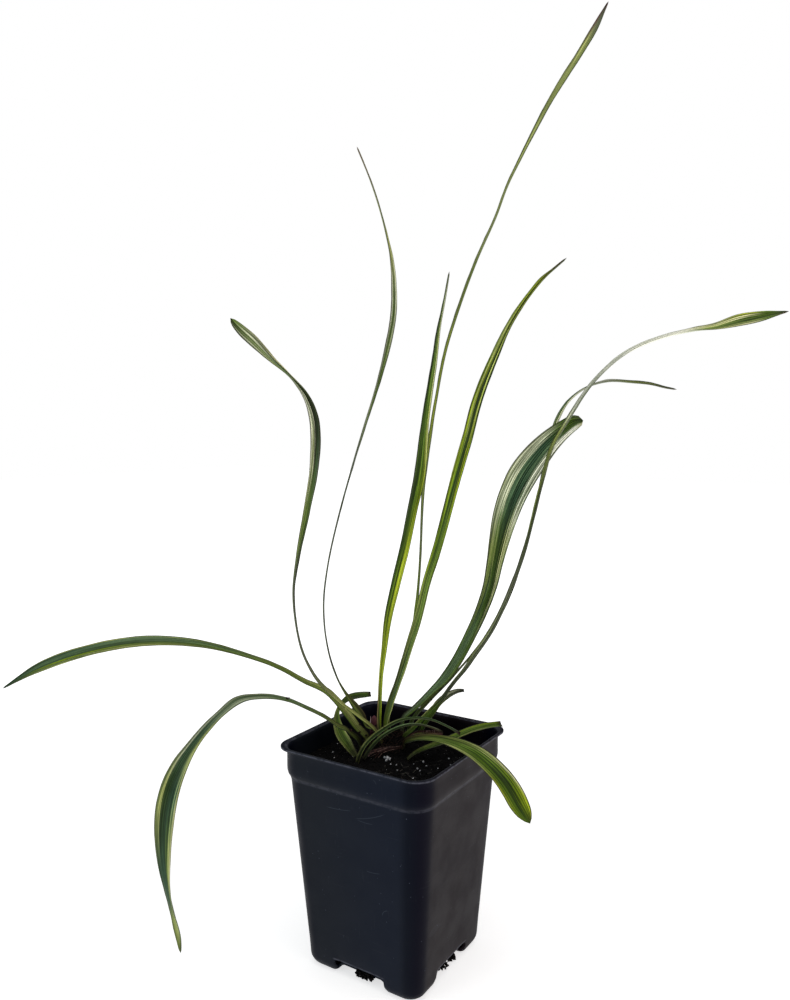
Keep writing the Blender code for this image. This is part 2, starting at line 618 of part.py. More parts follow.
def root_tube(name, radius, extra, group, material=None):
    """A tube along the surface root, longer by extra at its ends, with its caps welded on."""
    curve = bpy.data.curves.new(name + "_curve", "CURVE")
    curve.dimensions = "3D"
    curve.bevel_depth = radius * MM
    curve.bevel_resolution = 2
    curve.use_fill_caps = True
    route = [(x, y, z, 0.0) for x, y, z in SURFACE_ROOT]
    points, _ = smooth_rows(route, ROOT_RINGS)
    points = points[:, :3]
    for end, neighbour in ((0, 1), (-1, -2)):
        outward = points[end] - points[neighbour]
        points[end] += outward / np.linalg.norm(outward) * extra
    spline = curve.splines.new("POLY")
    spline.points.add(len(points) - 1)
    for knot, point in zip(spline.points, points):
        knot.co = (*(point * MM), 1.0)
    guide = bpy.data.objects.new(name + "_guide", curve)
    group.objects.link(guide)
    graph = bpy.context.evaluated_depsgraph_get()
    mesh = bpy.data.meshes.new_from_object(guide.evaluated_get(graph))
    bm = bmesh.new()
    bm.from_mesh(mesh)
    bmesh.ops.remove_doubles(bm, verts=bm.verts, dist=0.00001)
    bm.to_mesh(mesh)
    bm.free()
    piece = bpy.data.objects.new(name, mesh)
    piece.matrix_world = guide.matrix_world
    group.objects.link(piece)
    bpy.data.objects.remove(guide, do_unlink=True)
    if material:
        mesh.materials.clear()
        mesh.materials.append(material)
    mesh.shade_smooth()
    return piece


def build():
    clear_scene()
    plant = new_collection("potted_variegated_lilyturf")
    cutters = new_collection("cutters")
    holes = new_collection("hole_cutters")
    make_pot(plant, cutters)
    mix = make_soil(plant)
    for row in BLADES:
        make_blade(*row, plant, holes)
    bark = finish("root_brown", ROOT_BROWN, ROOT_ROUGHNESS)
    root_tube("surface_root", ROOT_RADIUS, 0.0, plant, bark)
    groove = ROOT_RADIUS + ROOT_GROOVE
    as_cutter(root_tube("surface_root_groove_cutter", groove, 2 * ROOT_GROOVE, holes))
    cut_away(mix, holes)


build()
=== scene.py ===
# %% [markdown]
# # A potted variegated lilyturf
# The plant is a young clump of striped, strap-shaped blades in a small square nursery pot.
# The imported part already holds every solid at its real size, so this script only dresses
# it: each plain solid is replaced by a finer piece in the same place, with its own finish.
# The first cell loads that part. Lengths below are millimetres unless a name says metres.

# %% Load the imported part
import math
import random

import bmesh
import bpy
import numpy as np
from mathutils import Matrix, Vector, noise


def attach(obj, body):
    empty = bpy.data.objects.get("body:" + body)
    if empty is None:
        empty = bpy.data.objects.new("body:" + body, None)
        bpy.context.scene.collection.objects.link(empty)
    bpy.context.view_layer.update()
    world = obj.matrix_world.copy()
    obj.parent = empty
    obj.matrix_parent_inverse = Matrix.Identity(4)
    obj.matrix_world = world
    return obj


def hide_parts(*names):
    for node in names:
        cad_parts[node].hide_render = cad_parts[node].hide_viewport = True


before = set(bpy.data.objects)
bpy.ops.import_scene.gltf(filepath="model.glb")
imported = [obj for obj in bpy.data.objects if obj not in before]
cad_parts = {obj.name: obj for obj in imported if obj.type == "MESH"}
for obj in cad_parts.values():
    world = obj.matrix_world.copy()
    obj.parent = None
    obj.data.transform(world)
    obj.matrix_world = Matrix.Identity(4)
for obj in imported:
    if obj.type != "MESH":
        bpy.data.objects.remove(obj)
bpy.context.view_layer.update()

MM = 0.001
print("solids in the frame:", len(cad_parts))

# %% [markdown]
# ## Small helpers
# Colours are written as they look on a screen, 0 to 255, because that is how an eye picks
# them, and are turned into the linear values that Blender's sockets hold. Node trees are
# long when each node takes four lines, so one helper adds a node, sets it and links it.

# %% Helpers for colours, objects and node trees
def shade(red, green, blue):
    """A colour as it looks on a screen, turned into linear light."""
    def linear(value):
        value /= 255.0
        return value / 12.92 if value <= 0.04045 else ((value + 0.055) / 1.055) ** 2.4
    return (linear(red), linear(green), linear(blue), 1.0)


def new_object(name, data):
    """An object in the scene, at the origin."""
    thing = bpy.data.objects.new(name, data)
    bpy.context.scene.collection.objects.link(thing)
    return thing


def feed(tree, node, inputs):
    """Give each named or numbered input of a node its value or its link."""
    for key, value in inputs.items():
        if isinstance(value, bpy.types.NodeSocket):
            tree.links.new(value, node.inputs[key])
        else:
            node.inputs[key].default_value = value


def add(tree, kind, inputs=None, **settings):
    """Add a node, set its options and feed its inputs."""
    node = tree.nodes.new(kind)
    for option, value in settings.items():
        setattr(node, option, value)
    feed(tree, node, inputs or {})
    return node


def maths(tree, operation, first, second=0.0, third=0.0):
    """One Math node, by its operation's name."""
    node = add(tree, "ShaderNodeMath", {0: first, 1: second, 2: third}, operation=operation)
    return node.outputs[0]


def product(tree, first, second):
    """The product of two numbers."""
    return maths(tree, "MULTIPLY", first, second)


def plus(tree, first, second):
    """The sum of two vectors."""
    return add(tree, "ShaderNodeVectorMath", {0: first, 1: second}).outputs[0]


def scaled(tree, vector, factor):
    """A vector made longer or shorter by a factor."""
    return add(tree, "ShaderNodeVectorMath", {0: vector, "Scale": factor}, operation="SCALE").outputs[0]


def between(tree, value, low, high, out_low=0.0, out_high=1.0):
    """Map a value smoothly from low..high to out_low..out_high, and hold it outside them."""
    inputs = {"Value": value, 1: low, 2: high, 3: out_low, 4: out_high}
    node = add(tree, "ShaderNodeMapRange", inputs, interpolation_type="SMOOTHSTEP")
    return node.outputs[0]


def blend(tree, factor, first, second, way="MIX"):
    """Mix two colours by a factor."""
    inputs = {0: factor, 6: first, 7: second}
    return add(tree, "ShaderNodeMix", inputs, data_type="RGBA", blend_type=way).outputs[2]


def speckle(tree, vector, scale, detail=2.0, rough=0.5):
    """The grey value of a noise texture."""
    inputs = {"Vector": vector, "Scale": scale, "Detail": detail, "Roughness": rough}
    return add(tree, "ShaderNodeTexNoise", inputs).outputs["Fac"]


def new_finish(name, roughness=0.5, specular=0.5):
    """A material with a Principled shader; returns it, its tree and the shader."""
    material = bpy.data.materials.new(name)
    material.use_nodes = True
    tree = material.node_tree
    shader = tree.nodes["Principled BSDF"]
    feed(tree, shader, {"Roughness": roughness, "Specular IOR Level": specular})
    return material, tree, shader


def place_in_object(tree, stretch=(1.0, 1.0, 1.0)):
    """Object coordinates in metres, stretched along each axis."""
    spot = add(tree, "ShaderNodeTexCoord").outputs["Object"]
    return add(tree, "ShaderNodeMapping", {"Vector": spot, "Scale": stretch}).outputs[0]


def raise_surface(tree, shader, height, distance, strength=1.0):
    """Feed a height into the shader's normal as bump, with its depth in metres."""
    bump = add(tree, "ShaderNodeBump", {"Height": height, "Distance": distance, "Strength": strength})
    feed(tree, shader, {"Normal": bump.outputs[0]})


print("helpers ready")

# %% [markdown]
# ## Node trees that make shapes
# Geometry Nodes are used here for all that repeats or follows a path. Each tree is built
# once with named inputs. Its modifier sits on a scratch object only until the result has
# been turned into a plain mesh, so nothing live is left on a finished piece.

# %% Helpers for shape trees
def new_shape_tree(name, sizes):
    """A Geometry Nodes tree; returns it, the geometry it is given and its named sizes."""
    tree = bpy.data.node_groups.new(name, "GeometryNodeTree")
    tree.interface.new_socket("Geometry", in_out="INPUT", socket_type="NodeSocketGeometry")
    for label, kind in sizes.items():
        tree.interface.new_socket(label, in_out="INPUT", socket_type="NodeSocket" + kind)
    tree.interface.new_socket("Geometry", in_out="OUTPUT", socket_type="NodeSocketGeometry")
    given = add(tree, "NodeGroupInput").outputs
    return tree, given["Geometry"], {label: given[label] for label in sizes}


def wobble(tree, scale, detail, strength):
    """A push for each point of a shape, from a noise on where the point is."""
    place = add(tree, "GeometryNodeInputPosition").outputs[0]
    cloud = add(tree, "ShaderNodeTexNoise", {"Vector": place, "Scale": scale, "Detail": detail})
    return scaled(tree, plus(tree, cloud.outputs["Color"], (-0.5, -0.5, -0.5)), strength)


def random_vector(tree, low, high, **seed):
    """A random vector for each point, between two corners."""
    inputs = {"Min": low, "Max": high, **seed}
    return add(tree, "FunctionNodeRandomValue", inputs, data_type="FLOAT_VECTOR").outputs["Value"]


def end_tree(tree, shape, material):
    """Shade a shape smooth, realise what is instanced, give it its material and send it out."""
    smooth = add(tree, "GeometryNodeSetShadeSmooth", {0: shape}).outputs[0]
    real = add(tree, "GeometryNodeRealizeInstances", {0: smooth}).outputs[0]
    done = add(tree, "GeometryNodeSetMaterial", {0: real, "Material": material}).outputs[0]
    add(tree, "NodeGroupOutput", {0: done})


def bake(piece):
    """Turn a piece and its modifiers into a plain mesh."""
    graph = bpy.context.evaluated_depsgraph_get()
    mesh = bpy.data.meshes.new_from_object(piece.evaluated_get(graph))
    mesh.name = piece.name
    piece.modifiers.clear()
    piece.data = mesh


def grow(name, base, tree, **sizes):
    """Run a tree on a base mesh and keep the result as a plain mesh object."""
    piece = new_object(name, base)
    modifier = piece.modifiers.new("shape", "NODES")
    modifier.node_group = tree
    for item in tree.interface.items_tree:
        if item.item_type == "SOCKET" and item.in_out == "INPUT" and item.name in sizes:
            modifier[item.identifier] = sizes[item.name]
    bake(piece)
    return piece


def from_lists(name, points, faces, edges=()):
    """A mesh in metres from points in millimetres."""
    mesh = bpy.data.meshes.new(name)
    mesh.from_pydata([[value * MM for value in point] for point in points], list(edges), faces)
    mesh.update()
    return mesh


def settle(piece, slot, *nodes):
    """Let a finished piece ride on the part in place of the named solids; the slot is not used."""
    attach(piece, "root")
    if nodes:
        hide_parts(*nodes)
    print(piece.name, "faces:", len(piece.data.polygons))
    return piece


print("shape helpers ready")

# %% [markdown]
# ## Camera
# The photograph looks at one corner of the pot from just above it, about 44 cm away, with
# a rather wide lens. These numbers were found by matching the pot's corners and edges. The
# frame is taller than wide, so the lens is worked out from the long side. The small shift
# is where the lens axis falls in the frame.

# %% Camera
FRAME_LONG_SIDE = 1000
FOCAL_PIXELS = 851.0
SENSOR = 36.0
CAMERA_DISTANCE = 441.5
CAMERA_AZIMUTH = math.radians(32.5)
CAMERA_ELEVATION = math.radians(5.05)
CAMERA_ROLL = math.radians(-0.14)
CAMERA_TARGET = Vector((4.75, 0.0, 246.4))
AXIS_OFF_CENTRE = (6.7, 1.1)

toward_camera = Vector((
    math.sin(CAMERA_AZIMUTH) * math.cos(CAMERA_ELEVATION),
    -math.cos(CAMERA_AZIMUTH) * math.cos(CAMERA_ELEVATION),
    math.sin(CAMERA_ELEVATION),
))
right_hand = Vector((math.cos(CAMERA_AZIMUTH), math.sin(CAMERA_AZIMUTH), 0.0))
aim = Matrix((right_hand, toward_camera.cross(right_hand), toward_camera)).transposed()
aim = aim @ Matrix.Rotation(CAMERA_ROLL, 3, "Z")

camera_data = bpy.data.cameras.new("camera")
camera_data.sensor_fit = "AUTO"
camera_data.sensor_width = SENSOR
camera_data.lens = FOCAL_PIXELS * SENSOR / FRAME_LONG_SIDE
camera_data.shift_x = -AXIS_OFF_CENTRE[0] / FRAME_LONG_SIDE
camera_data.shift_y = AXIS_OFF_CENTRE[1] / FRAME_LONG_SIDE
camera_data.clip_start = 0.01
camera = new_object("camera", camera_data)
camera_spot = CAMERA_TARGET + toward_camera * CAMERA_DISTANCE
camera.matrix_world = Matrix.Translation(camera_spot * MM) @ aim.to_4x4()
bpy.context.scene.camera = camera
print("camera at", [round(value) for value in camera_spot], "mm, lens", round(camera_data.lens, 2))

# %% [markdown]
# ## Floor and light
# A pale floor and a pale sky make the white surround of a product picture. The floor glows
# a little, and more so further out, so that no horizon shows. Black plastic
# shows mostly what it mirrors, so the lamps shape the pot: a large warm lamp on the right
# makes that face grey, and the left face only meets a dimmer, cooler one. The lamp above
# lights the blades' upper faces.

# %% Floor and lamps
FLOOR_HALF = 4.0
FLOOR_GLOW = 0.66
GLOW_STARTS = 0.12
GLOW_FULL = 0.75
SKY_FOR_CAMERA = 1.0
SKY_LIGHT = 0.27

floor_mesh = bpy.data.meshes.new("floor")
corners = [(-FLOOR_HALF, -FLOOR_HALF, 0), (FLOOR_HALF, -FLOOR_HALF, 0)]
corners += [(FLOOR_HALF, FLOOR_HALF, 0), (-FLOOR_HALF, FLOOR_HALF, 0)]
floor_mesh.from_pydata(corners, [], [(0, 1, 2, 3)])
floor = new_object("floor", floor_mesh)
paper, paper_tree, paper_shader = new_finish("pale_paper", roughness=0.9, specular=0.1)
paper_grain = speckle(paper_tree, place_in_object(paper_tree), 900.0)
paper_colour = blend(paper_tree, paper_grain, shade(238, 238, 237), shade(245, 245, 244))
from_middle = add(paper_tree, "ShaderNodeVectorMath", {0: place_in_object(paper_tree)}, operation="LENGTH")
paper_glow = between(paper_tree, from_middle.outputs["Value"], GLOW_STARTS, GLOW_FULL, FLOOR_GLOW, 1.0)
feed(paper_tree, paper_shader, {
    "Base Color": paper_colour, "Emission Color": (1.0, 1.0, 1.0, 1.0), "Emission Strength": paper_glow})
floor_mesh.materials.append(paper)

sky = bpy.data.worlds.new("pale_sky")
sky.use_nodes = True
sky_tree = sky.node_tree
sky_tree.nodes.clear()
seen = add(sky_tree, "ShaderNodeBackground", {"Color": (1, 1, 1, 1), "Strength": SKY_FOR_CAMERA})
lit = add(sky_tree, "ShaderNodeBackground", {"Color": (0.93, 0.96, 1, 1), "Strength": SKY_LIGHT})
ray = add(sky_tree, "ShaderNodeLightPath").outputs["Is Camera Ray"]
mixed = add(sky_tree, "ShaderNodeMixShader", {0: ray, 1: lit.outputs[0], 2: seen.outputs[0]})
add(sky_tree, "ShaderNodeOutputWorld", {0: mixed.outputs[0]})
bpy.context.scene.world = sky
bpy.context.scene.view_settings.view_transform = "Standard"


def soft_lamp(name, spot, size, power, colour, target=(0.0, 0.0, 0.2)):
    """A square area lamp in metres, turned to face a point of the object."""
    data = bpy.data.lights.new(name, "AREA")
    data.size = size
    data.energy = power
    data.color = colour
    lamp = new_object(name, data)
    lamp.location = spot
    lamp.rotation_euler = (Vector(target) - Vector(spot)).to_track_quat("-Z", "Y").to_euler()
    return lamp


soft_lamp("lamp_above", (0.1, -0.2, 1.5), 1.2, 5.7, (1.0, 0.99, 0.96))
soft_lamp("lamp_right", (1.3, 0.15, 0.5), 1.1, 4.9, (1.0, 0.79, 0.75))
soft_lamp("lamp_front_left", (-0.7, -1.25, 0.75), 0.8, 3.3, (0.86, 0.92, 1.0))

# %% [markdown]
# ## The pot's shape
# The real pot is thin black plastic, pressed over a mould: square with round corners,
# a flange for a lip, a plain band, a small step, a tapered body, and a base that is raised
# between four corner feet. A stack of rounded squares follows that form well. The outer
# skin is lofted through the stack and thickened inwards, its lip edge is rounded by a
# bevel, and a drain slot is cut under each side.

# %% Pot outline
LIP_HALF = 46.0
BAND_HALF = 44.1
BODY_TOP_HALF = 42.5
BODY_FOOT_HALF = 34.6
WALL = 1.2
LIP_UNDERSIDE = 118.8
SHOULDER_HEIGHT = 102.4
FOOT_LIFT = 4.2
FOOT_INNER = 11.5
FOOT_OUTER = 17.2
PANEL_RING_HALF = 20.0
PANEL_RING_CORNER = 1.4
RAISED_RING_HALF = 13.0
PANEL_STOP = 7.5
SLOT_LENGTH = 31.0
SLOT_DEPTH = 4.6
SLOT_TOP = 8.3
SLOT_HEIGHT = 9.3
SLOT_CORNER = 1.8


def ramp(value, low, high):
    """0 below low, 1 above high and an even S between them."""
    t = min(max((value - low) / (high - low), 0.0), 1.0)
    return t * t * (3.0 - 2.0 * t)


def base_height(x, y, shift=0.0):
    """The raised base, and 0 over the four corner feet."""
    low = FOOT_INNER + shift
    high = FOOT_OUTER + shift
    return FOOT_LIFT * (1.0 - ramp(abs(x), low, high) * ramp(abs(y), low, high))


def body_half(height):
    """Half the width of the tapered body at a height."""
    share = height / SHOULDER_HEIGHT
    return BODY_FOOT_HALF + (BODY_TOP_HALF - BODY_FOOT_HALF) * share


def square_ring(half, corner, shift=0.0, fineness=4):
    """Points round a square with rounded corners, closer together where the feet begin."""
    if half < PANEL_RING_HALF + shift:
        outer = square_ring(PANEL_RING_HALF + shift, PANEL_RING_CORNER, shift, fineness)
        share = half / (PANEL_RING_HALF + shift)
        return [(x * share, y * share) for x, y in outer]
    grown = max(1.0, half / BODY_FOOT_HALF)
    inner = (FOOT_INNER + shift) * grown
    outer = (FOOT_OUTER + shift) * grown
    middle = PANEL_STOP * grown
    straight = half - min(corner, half - outer - 0.1)
    corner = half - straight
    stops = [-straight, -outer, -inner, -middle, middle, inner, outer, straight]
    side = []
    for start, end in zip(stops, stops[1:]):
        side += [(half, start + (end - start) * step / fineness) for step in range(fineness)]
    turns = 3 * fineness
    for step in range(turns):
        angle = 0.5 * math.pi * step / turns
        side.append((straight + corner * math.cos(angle), straight + corner * math.sin(angle)))
    ring = []
    for quarter in range(4):
        c = round(math.cos(0.5 * math.pi * quarter))
        s = round(math.sin(0.5 * math.pi * quarter))
        ring += [(x * c - y * s, x * s + y * c) for x, y in side]
    return ring


def loft(name, rings, close_first, close_last):
    """Skin a list of rings of (x, y, z) points, with each end open or drawn to its middle."""
    points = [point for ring in rings for point in ring]
    count = len(rings[0])
    faces = []
    for row in range(len(rings) - 1):
        for i in range(count):
            j = (i + 1) % count
            upper, lower = row * count, (row + 1) * count
            faces.append((upper + i, lower + i, lower + j, upper + j))
    for ring, wanted, start in ((rings[0], close_first, 0), (rings[-1], close_last, len(points) - count)):
        if not wanted:
            continue
        hub = len(points)
        points.append(tuple(np.mean(ring, axis=0)))
        for i in range(count):
            j = (i + 1) % count
            first, second = (start + i, start + j) if start == 0 else (start + j, start + i)
            faces.append((hub, first, second))
    return from_lists(name, points, faces)


def solid_piece(name, rings, material):
    """A closed, smooth loft as a piece of its own."""
    mesh = loft(name, rings, close_first=True, close_last=True)
    mesh.materials.append(material)
    mesh.shade_smooth()
    return new_object(name, mesh)


print("rounded square has", len(square_ring(40.0, 10.0)), "points")

# %% Pot walls
def pot_wall_rows():
    """Outer rows of the pot from its lip to the top of its feet: height, half, corner."""
    rows = [
        (LIP_UNDERSIDE, LIP_HALF, 10.6),
        (LIP_UNDERSIDE, BAND_HALF + 1.1, 11.2),
        (LIP_UNDERSIDE - 0.2, BAND_HALF + 0.65, 11.5),
        (LIP_UNDERSIDE - 0.6, BAND_HALF + 0.25, 11.8),
        (LIP_UNDERSIDE - 1.5, BAND_HALF, 12.0),
        (113.5, BAND_HALF - 0.05, 12.0),
        (109.0, BAND_HALF, 12.0),
        (107.4, BAND_HALF - 0.07, 11.9),
        (106.2, BAND_HALF - 0.22, 11.9),
        (105.2, BAND_HALF - 0.5, 11.8),
        (104.3, BAND_HALF - 0.9, 11.8),
        (103.6, BAND_HALF - 1.35, 11.6),
        (SHOULDER_HEIGHT + 0.6, BODY_TOP_HALF + 0.22, 11.4),
        (SHOULDER_HEIGHT, BODY_TOP_HALF + 0.04, 11.4),
        (SHOULDER_HEIGHT - 0.7, body_half(SHOULDER_HEIGHT - 0.7), 11.5),
    ]
    for height in range(98, 8, -6):
        rows.append((float(height), body_half(height), 8.4 + 3.1 * height / SHOULDER_HEIGHT))
    return rows


def pot_edge_rows():
    """Rows round the foot edge and over the base: height above the base, half, corner."""
    return (
        (5.5, body_half(5.5), 8.2),
        (4.1, body_half(4.1) - 0.16, 8.0),
        (2.8, body_half(2.8) - 0.6, 7.8),
        (1.8, body_half(1.8) - 1.15, 7.5),
        (1.1, body_half(1.1) - 1.8, 7.2),
        (0.55, BODY_FOOT_HALF - 2.5, 6.8),
        (0.25, BODY_FOOT_HALF - 3.4, 6.4),
        (0.06, BODY_FOOT_HALF - 4.3, 5.9),
        (0.0, BODY_FOOT_HALF - 5.2, 5.4),
        (0.0, 26.5, 4.7),
        (0.0, 24.0, 4.0),
        (0.0, 22.0, 2.7),
        (0.0, PANEL_RING_HALF, PANEL_RING_CORNER),
        (0.0, 18.2, 0.0),
        (0.0, RAISED_RING_HALF, 0.0),
        (0.0, 12.0, 0.0),
        (0.0, 6.0, 0.0),
    )


WALL_BOW = 0.18
WALL_WAVE = 0.10
WAVE_LENGTH = 34.0
LIP_ROUNDING = 0.32
LIP_EDGE_ANGLE = 60
SHARP_ANGLE = 40


def soft_wall(x, y, z):
    """Thin walls are never dead flat: they bow in a little and wave by a hair."""
    reach = max(abs(x), abs(y))
    flat = max(0.0, 1.0 - (min(abs(x), abs(y)) / (0.72 * reach)) ** 2)
    tall = math.sin(math.pi * min(max((z - 8.0) / 92.0, 0.0), 1.0))
    wave = noise.noise(Vector((x, y, z)) / WAVE_LENGTH)
    pull = flat * tall * (WALL_BOW - WALL_WAVE * wave) / reach
    return (x * (1.0 - pull), y * (1.0 - pull), z)


def cut_slots(pot):
    """Cut the drain slot under each side; returns the shapes that cut."""
    cutters = []
    for quarter in range(4):
        bm = bmesh.new()
        bmesh.ops.create_cube(bm, size=1.0)
        bmesh.ops.scale(bm, vec=(SLOT_DEPTH, SLOT_LENGTH, SLOT_HEIGHT), verts=bm.verts)
        upper = [edge for edge in bm.edges if all(vert.co.z > 0.0 for vert in edge.verts)
                 and edge.verts[0].co.y == edge.verts[1].co.y]
        bmesh.ops.bevel(bm, geom=upper, offset=SLOT_CORNER, segments=5, profile=0.5, affect="EDGES")
        reach = body_half(FOOT_LIFT) + 1.0 - 0.5 * SLOT_DEPTH
        bmesh.ops.translate(bm, vec=(reach, 0.0, SLOT_TOP - 0.5 * SLOT_HEIGHT), verts=bm.verts)
        bmesh.ops.scale(bm, vec=(MM, MM, MM), verts=bm.verts)
        turn = Matrix.Rotation(0.5 * math.pi * quarter, 3, "Z")
        bmesh.ops.rotate(bm, matrix=turn, verts=bm.verts)
        mesh = bpy.data.meshes.new("slot")
        bm.to_mesh(mesh)
        bm.free()
        cutter = new_object(f"slot_cutter_{quarter}", mesh)
        modifier = pot.modifiers.new(cutter.name, "BOOLEAN")
        modifier.operation = "DIFFERENCE"
        modifier.solver = "EXACT"
        modifier.object = cutter
        cutters.append(cutter)
    return cutters


def make_pot(material):
    """The pot's skin lofted from its rows, given its wall, rounded edges and drain slots."""
    rings = []
    for z, half, corner in pot_wall_rows():
        rings.append([soft_wall(x, y, z) for x, y in square_ring(half, corner)])
    for lift, half, corner in pot_edge_rows():
        ring = square_ring(half, corner)
        rings.append([(x, y, base_height(x, y) + lift) for x, y in ring])
    mesh = loft("pot_shell", rings, close_first=False, close_last=True)
    mesh.materials.append(material)
    pot = new_object("pot_shell", mesh)
    shell = pot.modifiers.new("wall", "SOLIDIFY")
    shell.thickness = WALL * MM
    shell.offset = -1.0
    shell.use_even_offset = True
    edge = pot.modifiers.new("lip_edge", "BEVEL")
    edge.width = LIP_ROUNDING * MM
    edge.segments = 3
    edge.limit_method = "ANGLE"
    edge.angle_limit = math.radians(LIP_EDGE_ANGLE)
    cutters = cut_slots(pot)
    bake(pot)
    for cutter in cutters:
        bpy.data.objects.remove(cutter, do_unlink=True)
    pot.data.shade_smooth()
    pot.data.set_sharp_from_angle(angle=math.radians(SHARP_ANGLE))
    return pot


print("pot rows:", len(pot_wall_rows()) + len(pot_edge_rows()))

# %% [markdown]
# ## Satin black plastic
# Pressed polypropylene is nearly black with a blue cast and a satin gloss. Up close it has
# a fine grain, faint rub marks that run every way, and dust. Each of those is a noise on
# the pot's own coordinates: the rub marks are noises stretched until only thin streaks
# pass a threshold, and the dust is the middle of a few random cells. Light and shade are
# also painted into the colour. The flat walls get a grey painted light, cooler on the left
# face and warmer on the right, with a painted reflection tint to match. The round corners
# keep a darker painted shade, and painted highlights run along the lip, the step and the
# tops of the drain slots. A few long scratches cross the left face.

# %% Plastic finish
# Painted shade on the round corners, painted light on each face, and a painted reflection tint for each
# face.
CORNER_SHADE_STARTS = 0.66
CORNER_SHADE_FULL = 0.84
SHADED_CORNER = shade(2, 5, 20)
RIGHT_FACE_PAINTED_LIGHT = shade(20, 15, 19)
NEAR_LEFT_PAINTED_LIGHT = shade(12, 19, 34)
FAR_LEFT_PAINTED_LIGHT = shade(17, 21, 28)
RIGHT_PAINTED_REFLECTION = (1.0, 0.8, 0.84, 1.0)
LEFT_PAINTED_REFLECTION = (0.8, 0.93, 1.0, 1.0)
RIGHT_GLOSS = 0.06
LEFT_GLOSS = 0.075
RUB_AMOUNT = 0.33
SCRATCH_STRENGTH = 0.42

# The heights between which a painted edge highlight comes up, and those between which it fades again.
LIP_HIGHLIGHT = ((119.0, 119.3), (119.8, 119.98))
STEP_HIGHLIGHT = ((102.2, 102.9), (103.4, 105.0))
SLOT_HIGHLIGHT = ((8.2, 8.4), (8.9, 9.4))
SLOT_HIGHLIGHT_REACH = (15.0, 16.5)


def rub_marks(tree, stretch, seed, amount):
    """Thin streaks: a stretched noise, cut off so that only its peaks are left."""
    spot = add(tree, "ShaderNodeTexCoord").outputs["Object"]
    turn = (0.3 * seed, 0.5 * seed, 0.9 * seed)
    turned = add(tree, "ShaderNodeMapping", {"Vector": spot, "Rotation": turn, "Scale": stretch})
    fine = speckle(tree, turned.outputs[0], 1.0, 3.0)
    return between(tree, fine, 1.0 - amount, 1.0 - 0.82 * amount)


def dust_specks(tree, cells, radius, share):
    """Small round specks in some of the cells of a Voronoi texture."""
    spot = add(tree, "ShaderNodeTexCoord").outputs["Object"]
    cell = add(tree, "ShaderNodeTexVoronoi", {"Vector": spot, "Scale": cells})
    near = between(tree, cell.outputs["Distance"], radius, 0.4 * radius)
    pick = speckle(tree, cell.outputs["Position"], 700.0, 0.0)
    shown = maths(tree, "GREATER_THAN", pick, 1.0 - share)
    return product(tree, near, shown)


# Each scratch on the front left face: the middle of the line, the centre of its bend and
# half its length, in mm.
SCRATCHES = (
    ((-6.6, -41.9, 94.2), (-14.6, -41.9, 174.7), 8.5),
    ((12.8, -41.8, 94.6), (-8.0, -41.8, 150.0), 10.6),
    ((9.5, -41.7, 91.2), (9.5, -41.7, 120.0), 5.0),
    ((12.6, -39.5, 65.4), (10.0, -39.5, 90.0), 4.6),
    ((18.0, -38.1, 46.3), (21.0, -38.1, 43.5), 3.0),
    ((17.2, -44.0, 114.6), (14.0, -44.0, 112.0), 1.5),
)
SCRATCH_WIDTH = 0.2


def scratch_mask(tree, middle, bend, half_length):
    """A thin arc around the point bend, seen only near its middle."""
    spot = place_in_object(tree)
    away, along = (add(tree, "ShaderNodeVectorMath", {0: spot, 1: [MM * value for value in point]},
                       operation="DISTANCE").outputs["Value"] for point in (bend, middle))
    radius = MM * (Vector(middle) - Vector(bend)).length
    off_line = maths(tree, "ABSOLUTE", maths(tree, "SUBTRACT", away, radius))
    line = between(tree, off_line, SCRATCH_WIDTH * MM, 0.4 * SCRATCH_WIDTH * MM)
    return product(tree, line, between(tree, along, half_length * MM, 0.6 * half_length * MM))


def wall_painted_light(tree, place):
    """Painted light on the flat walls and painted shade on the round corners; and where the left face is."""
    cloud = speckle(tree, place_in_object(tree), 26.0, 3.0)
    east, north = (maths(tree, "ABSOLUTE", place.outputs[axis]) for axis in (0, 1))
    nearer = maths(tree, "MINIMUM", east, north)
    cornered = maths(tree, "DIVIDE", nearer, maths(tree, "MAXIMUM", east, north))
    unshaded_face = between(tree, cornered, CORNER_SHADE_FULL, CORNER_SHADE_STARTS)
    unshaded_face = product(tree, unshaded_face, between(tree, cloud, 0.3, 0.7, 0.8, 1.0))
    facing = maths(tree, "ADD", place.outputs[0], place.outputs[1])
    left_face = between(tree, facing, 4.0 * MM, -8.0 * MM)
    far_left = between(tree, place.outputs[0], 25.0 * MM, -42.0 * MM)
    left_painted_light = blend(tree, far_left, NEAR_LEFT_PAINTED_LIGHT, FAR_LEFT_PAINTED_LIGHT)
    # Painted light on the flat walls, cooler on the left face and warmer on the right, and painted shade on
    # the round corners.
    colour = blend(tree, unshaded_face, SHADED_CORNER, blend(tree, left_face, RIGHT_FACE_PAINTED_LIGHT, left_painted_light))
    return colour, left_face, nearer


def band(tree, height, rise, fade, low=0.0, high=1.0):
    """High in a band of heights: it comes up between two heights and fades between two more."""
    up = between(tree, height, rise[0] * MM, rise[1] * MM)
    down = between(tree, height, fade[1] * MM, fade[0] * MM, low, high)
    return product(tree, up, down)


def painted_edge_highlights(tree, height, nearer):
    """Painted highlights along the lip, the step and the tops of the drain slots."""
    lip = band(tree, height, *LIP_HIGHLIGHT, low=0.3)
    step = band(tree, height, *STEP_HIGHLIGHT, high=0.4)
    inner, outer = (MM * reach for reach in SLOT_HIGHLIGHT_REACH)
    slot = product(tree, band(tree, height, *SLOT_HIGHLIGHT), between(tree, nearer, outer, inner, 0.0, 0.8))
    edges = maths(tree, "MAXIMUM", maths(tree, "MAXIMUM", lip, step), slot)
    cloud = speckle(tree, place_in_object(tree), 420.0, 3.0)
    return product(tree, edges, between(tree, cloud, 0.3, 0.6, 0.3, 1.0))


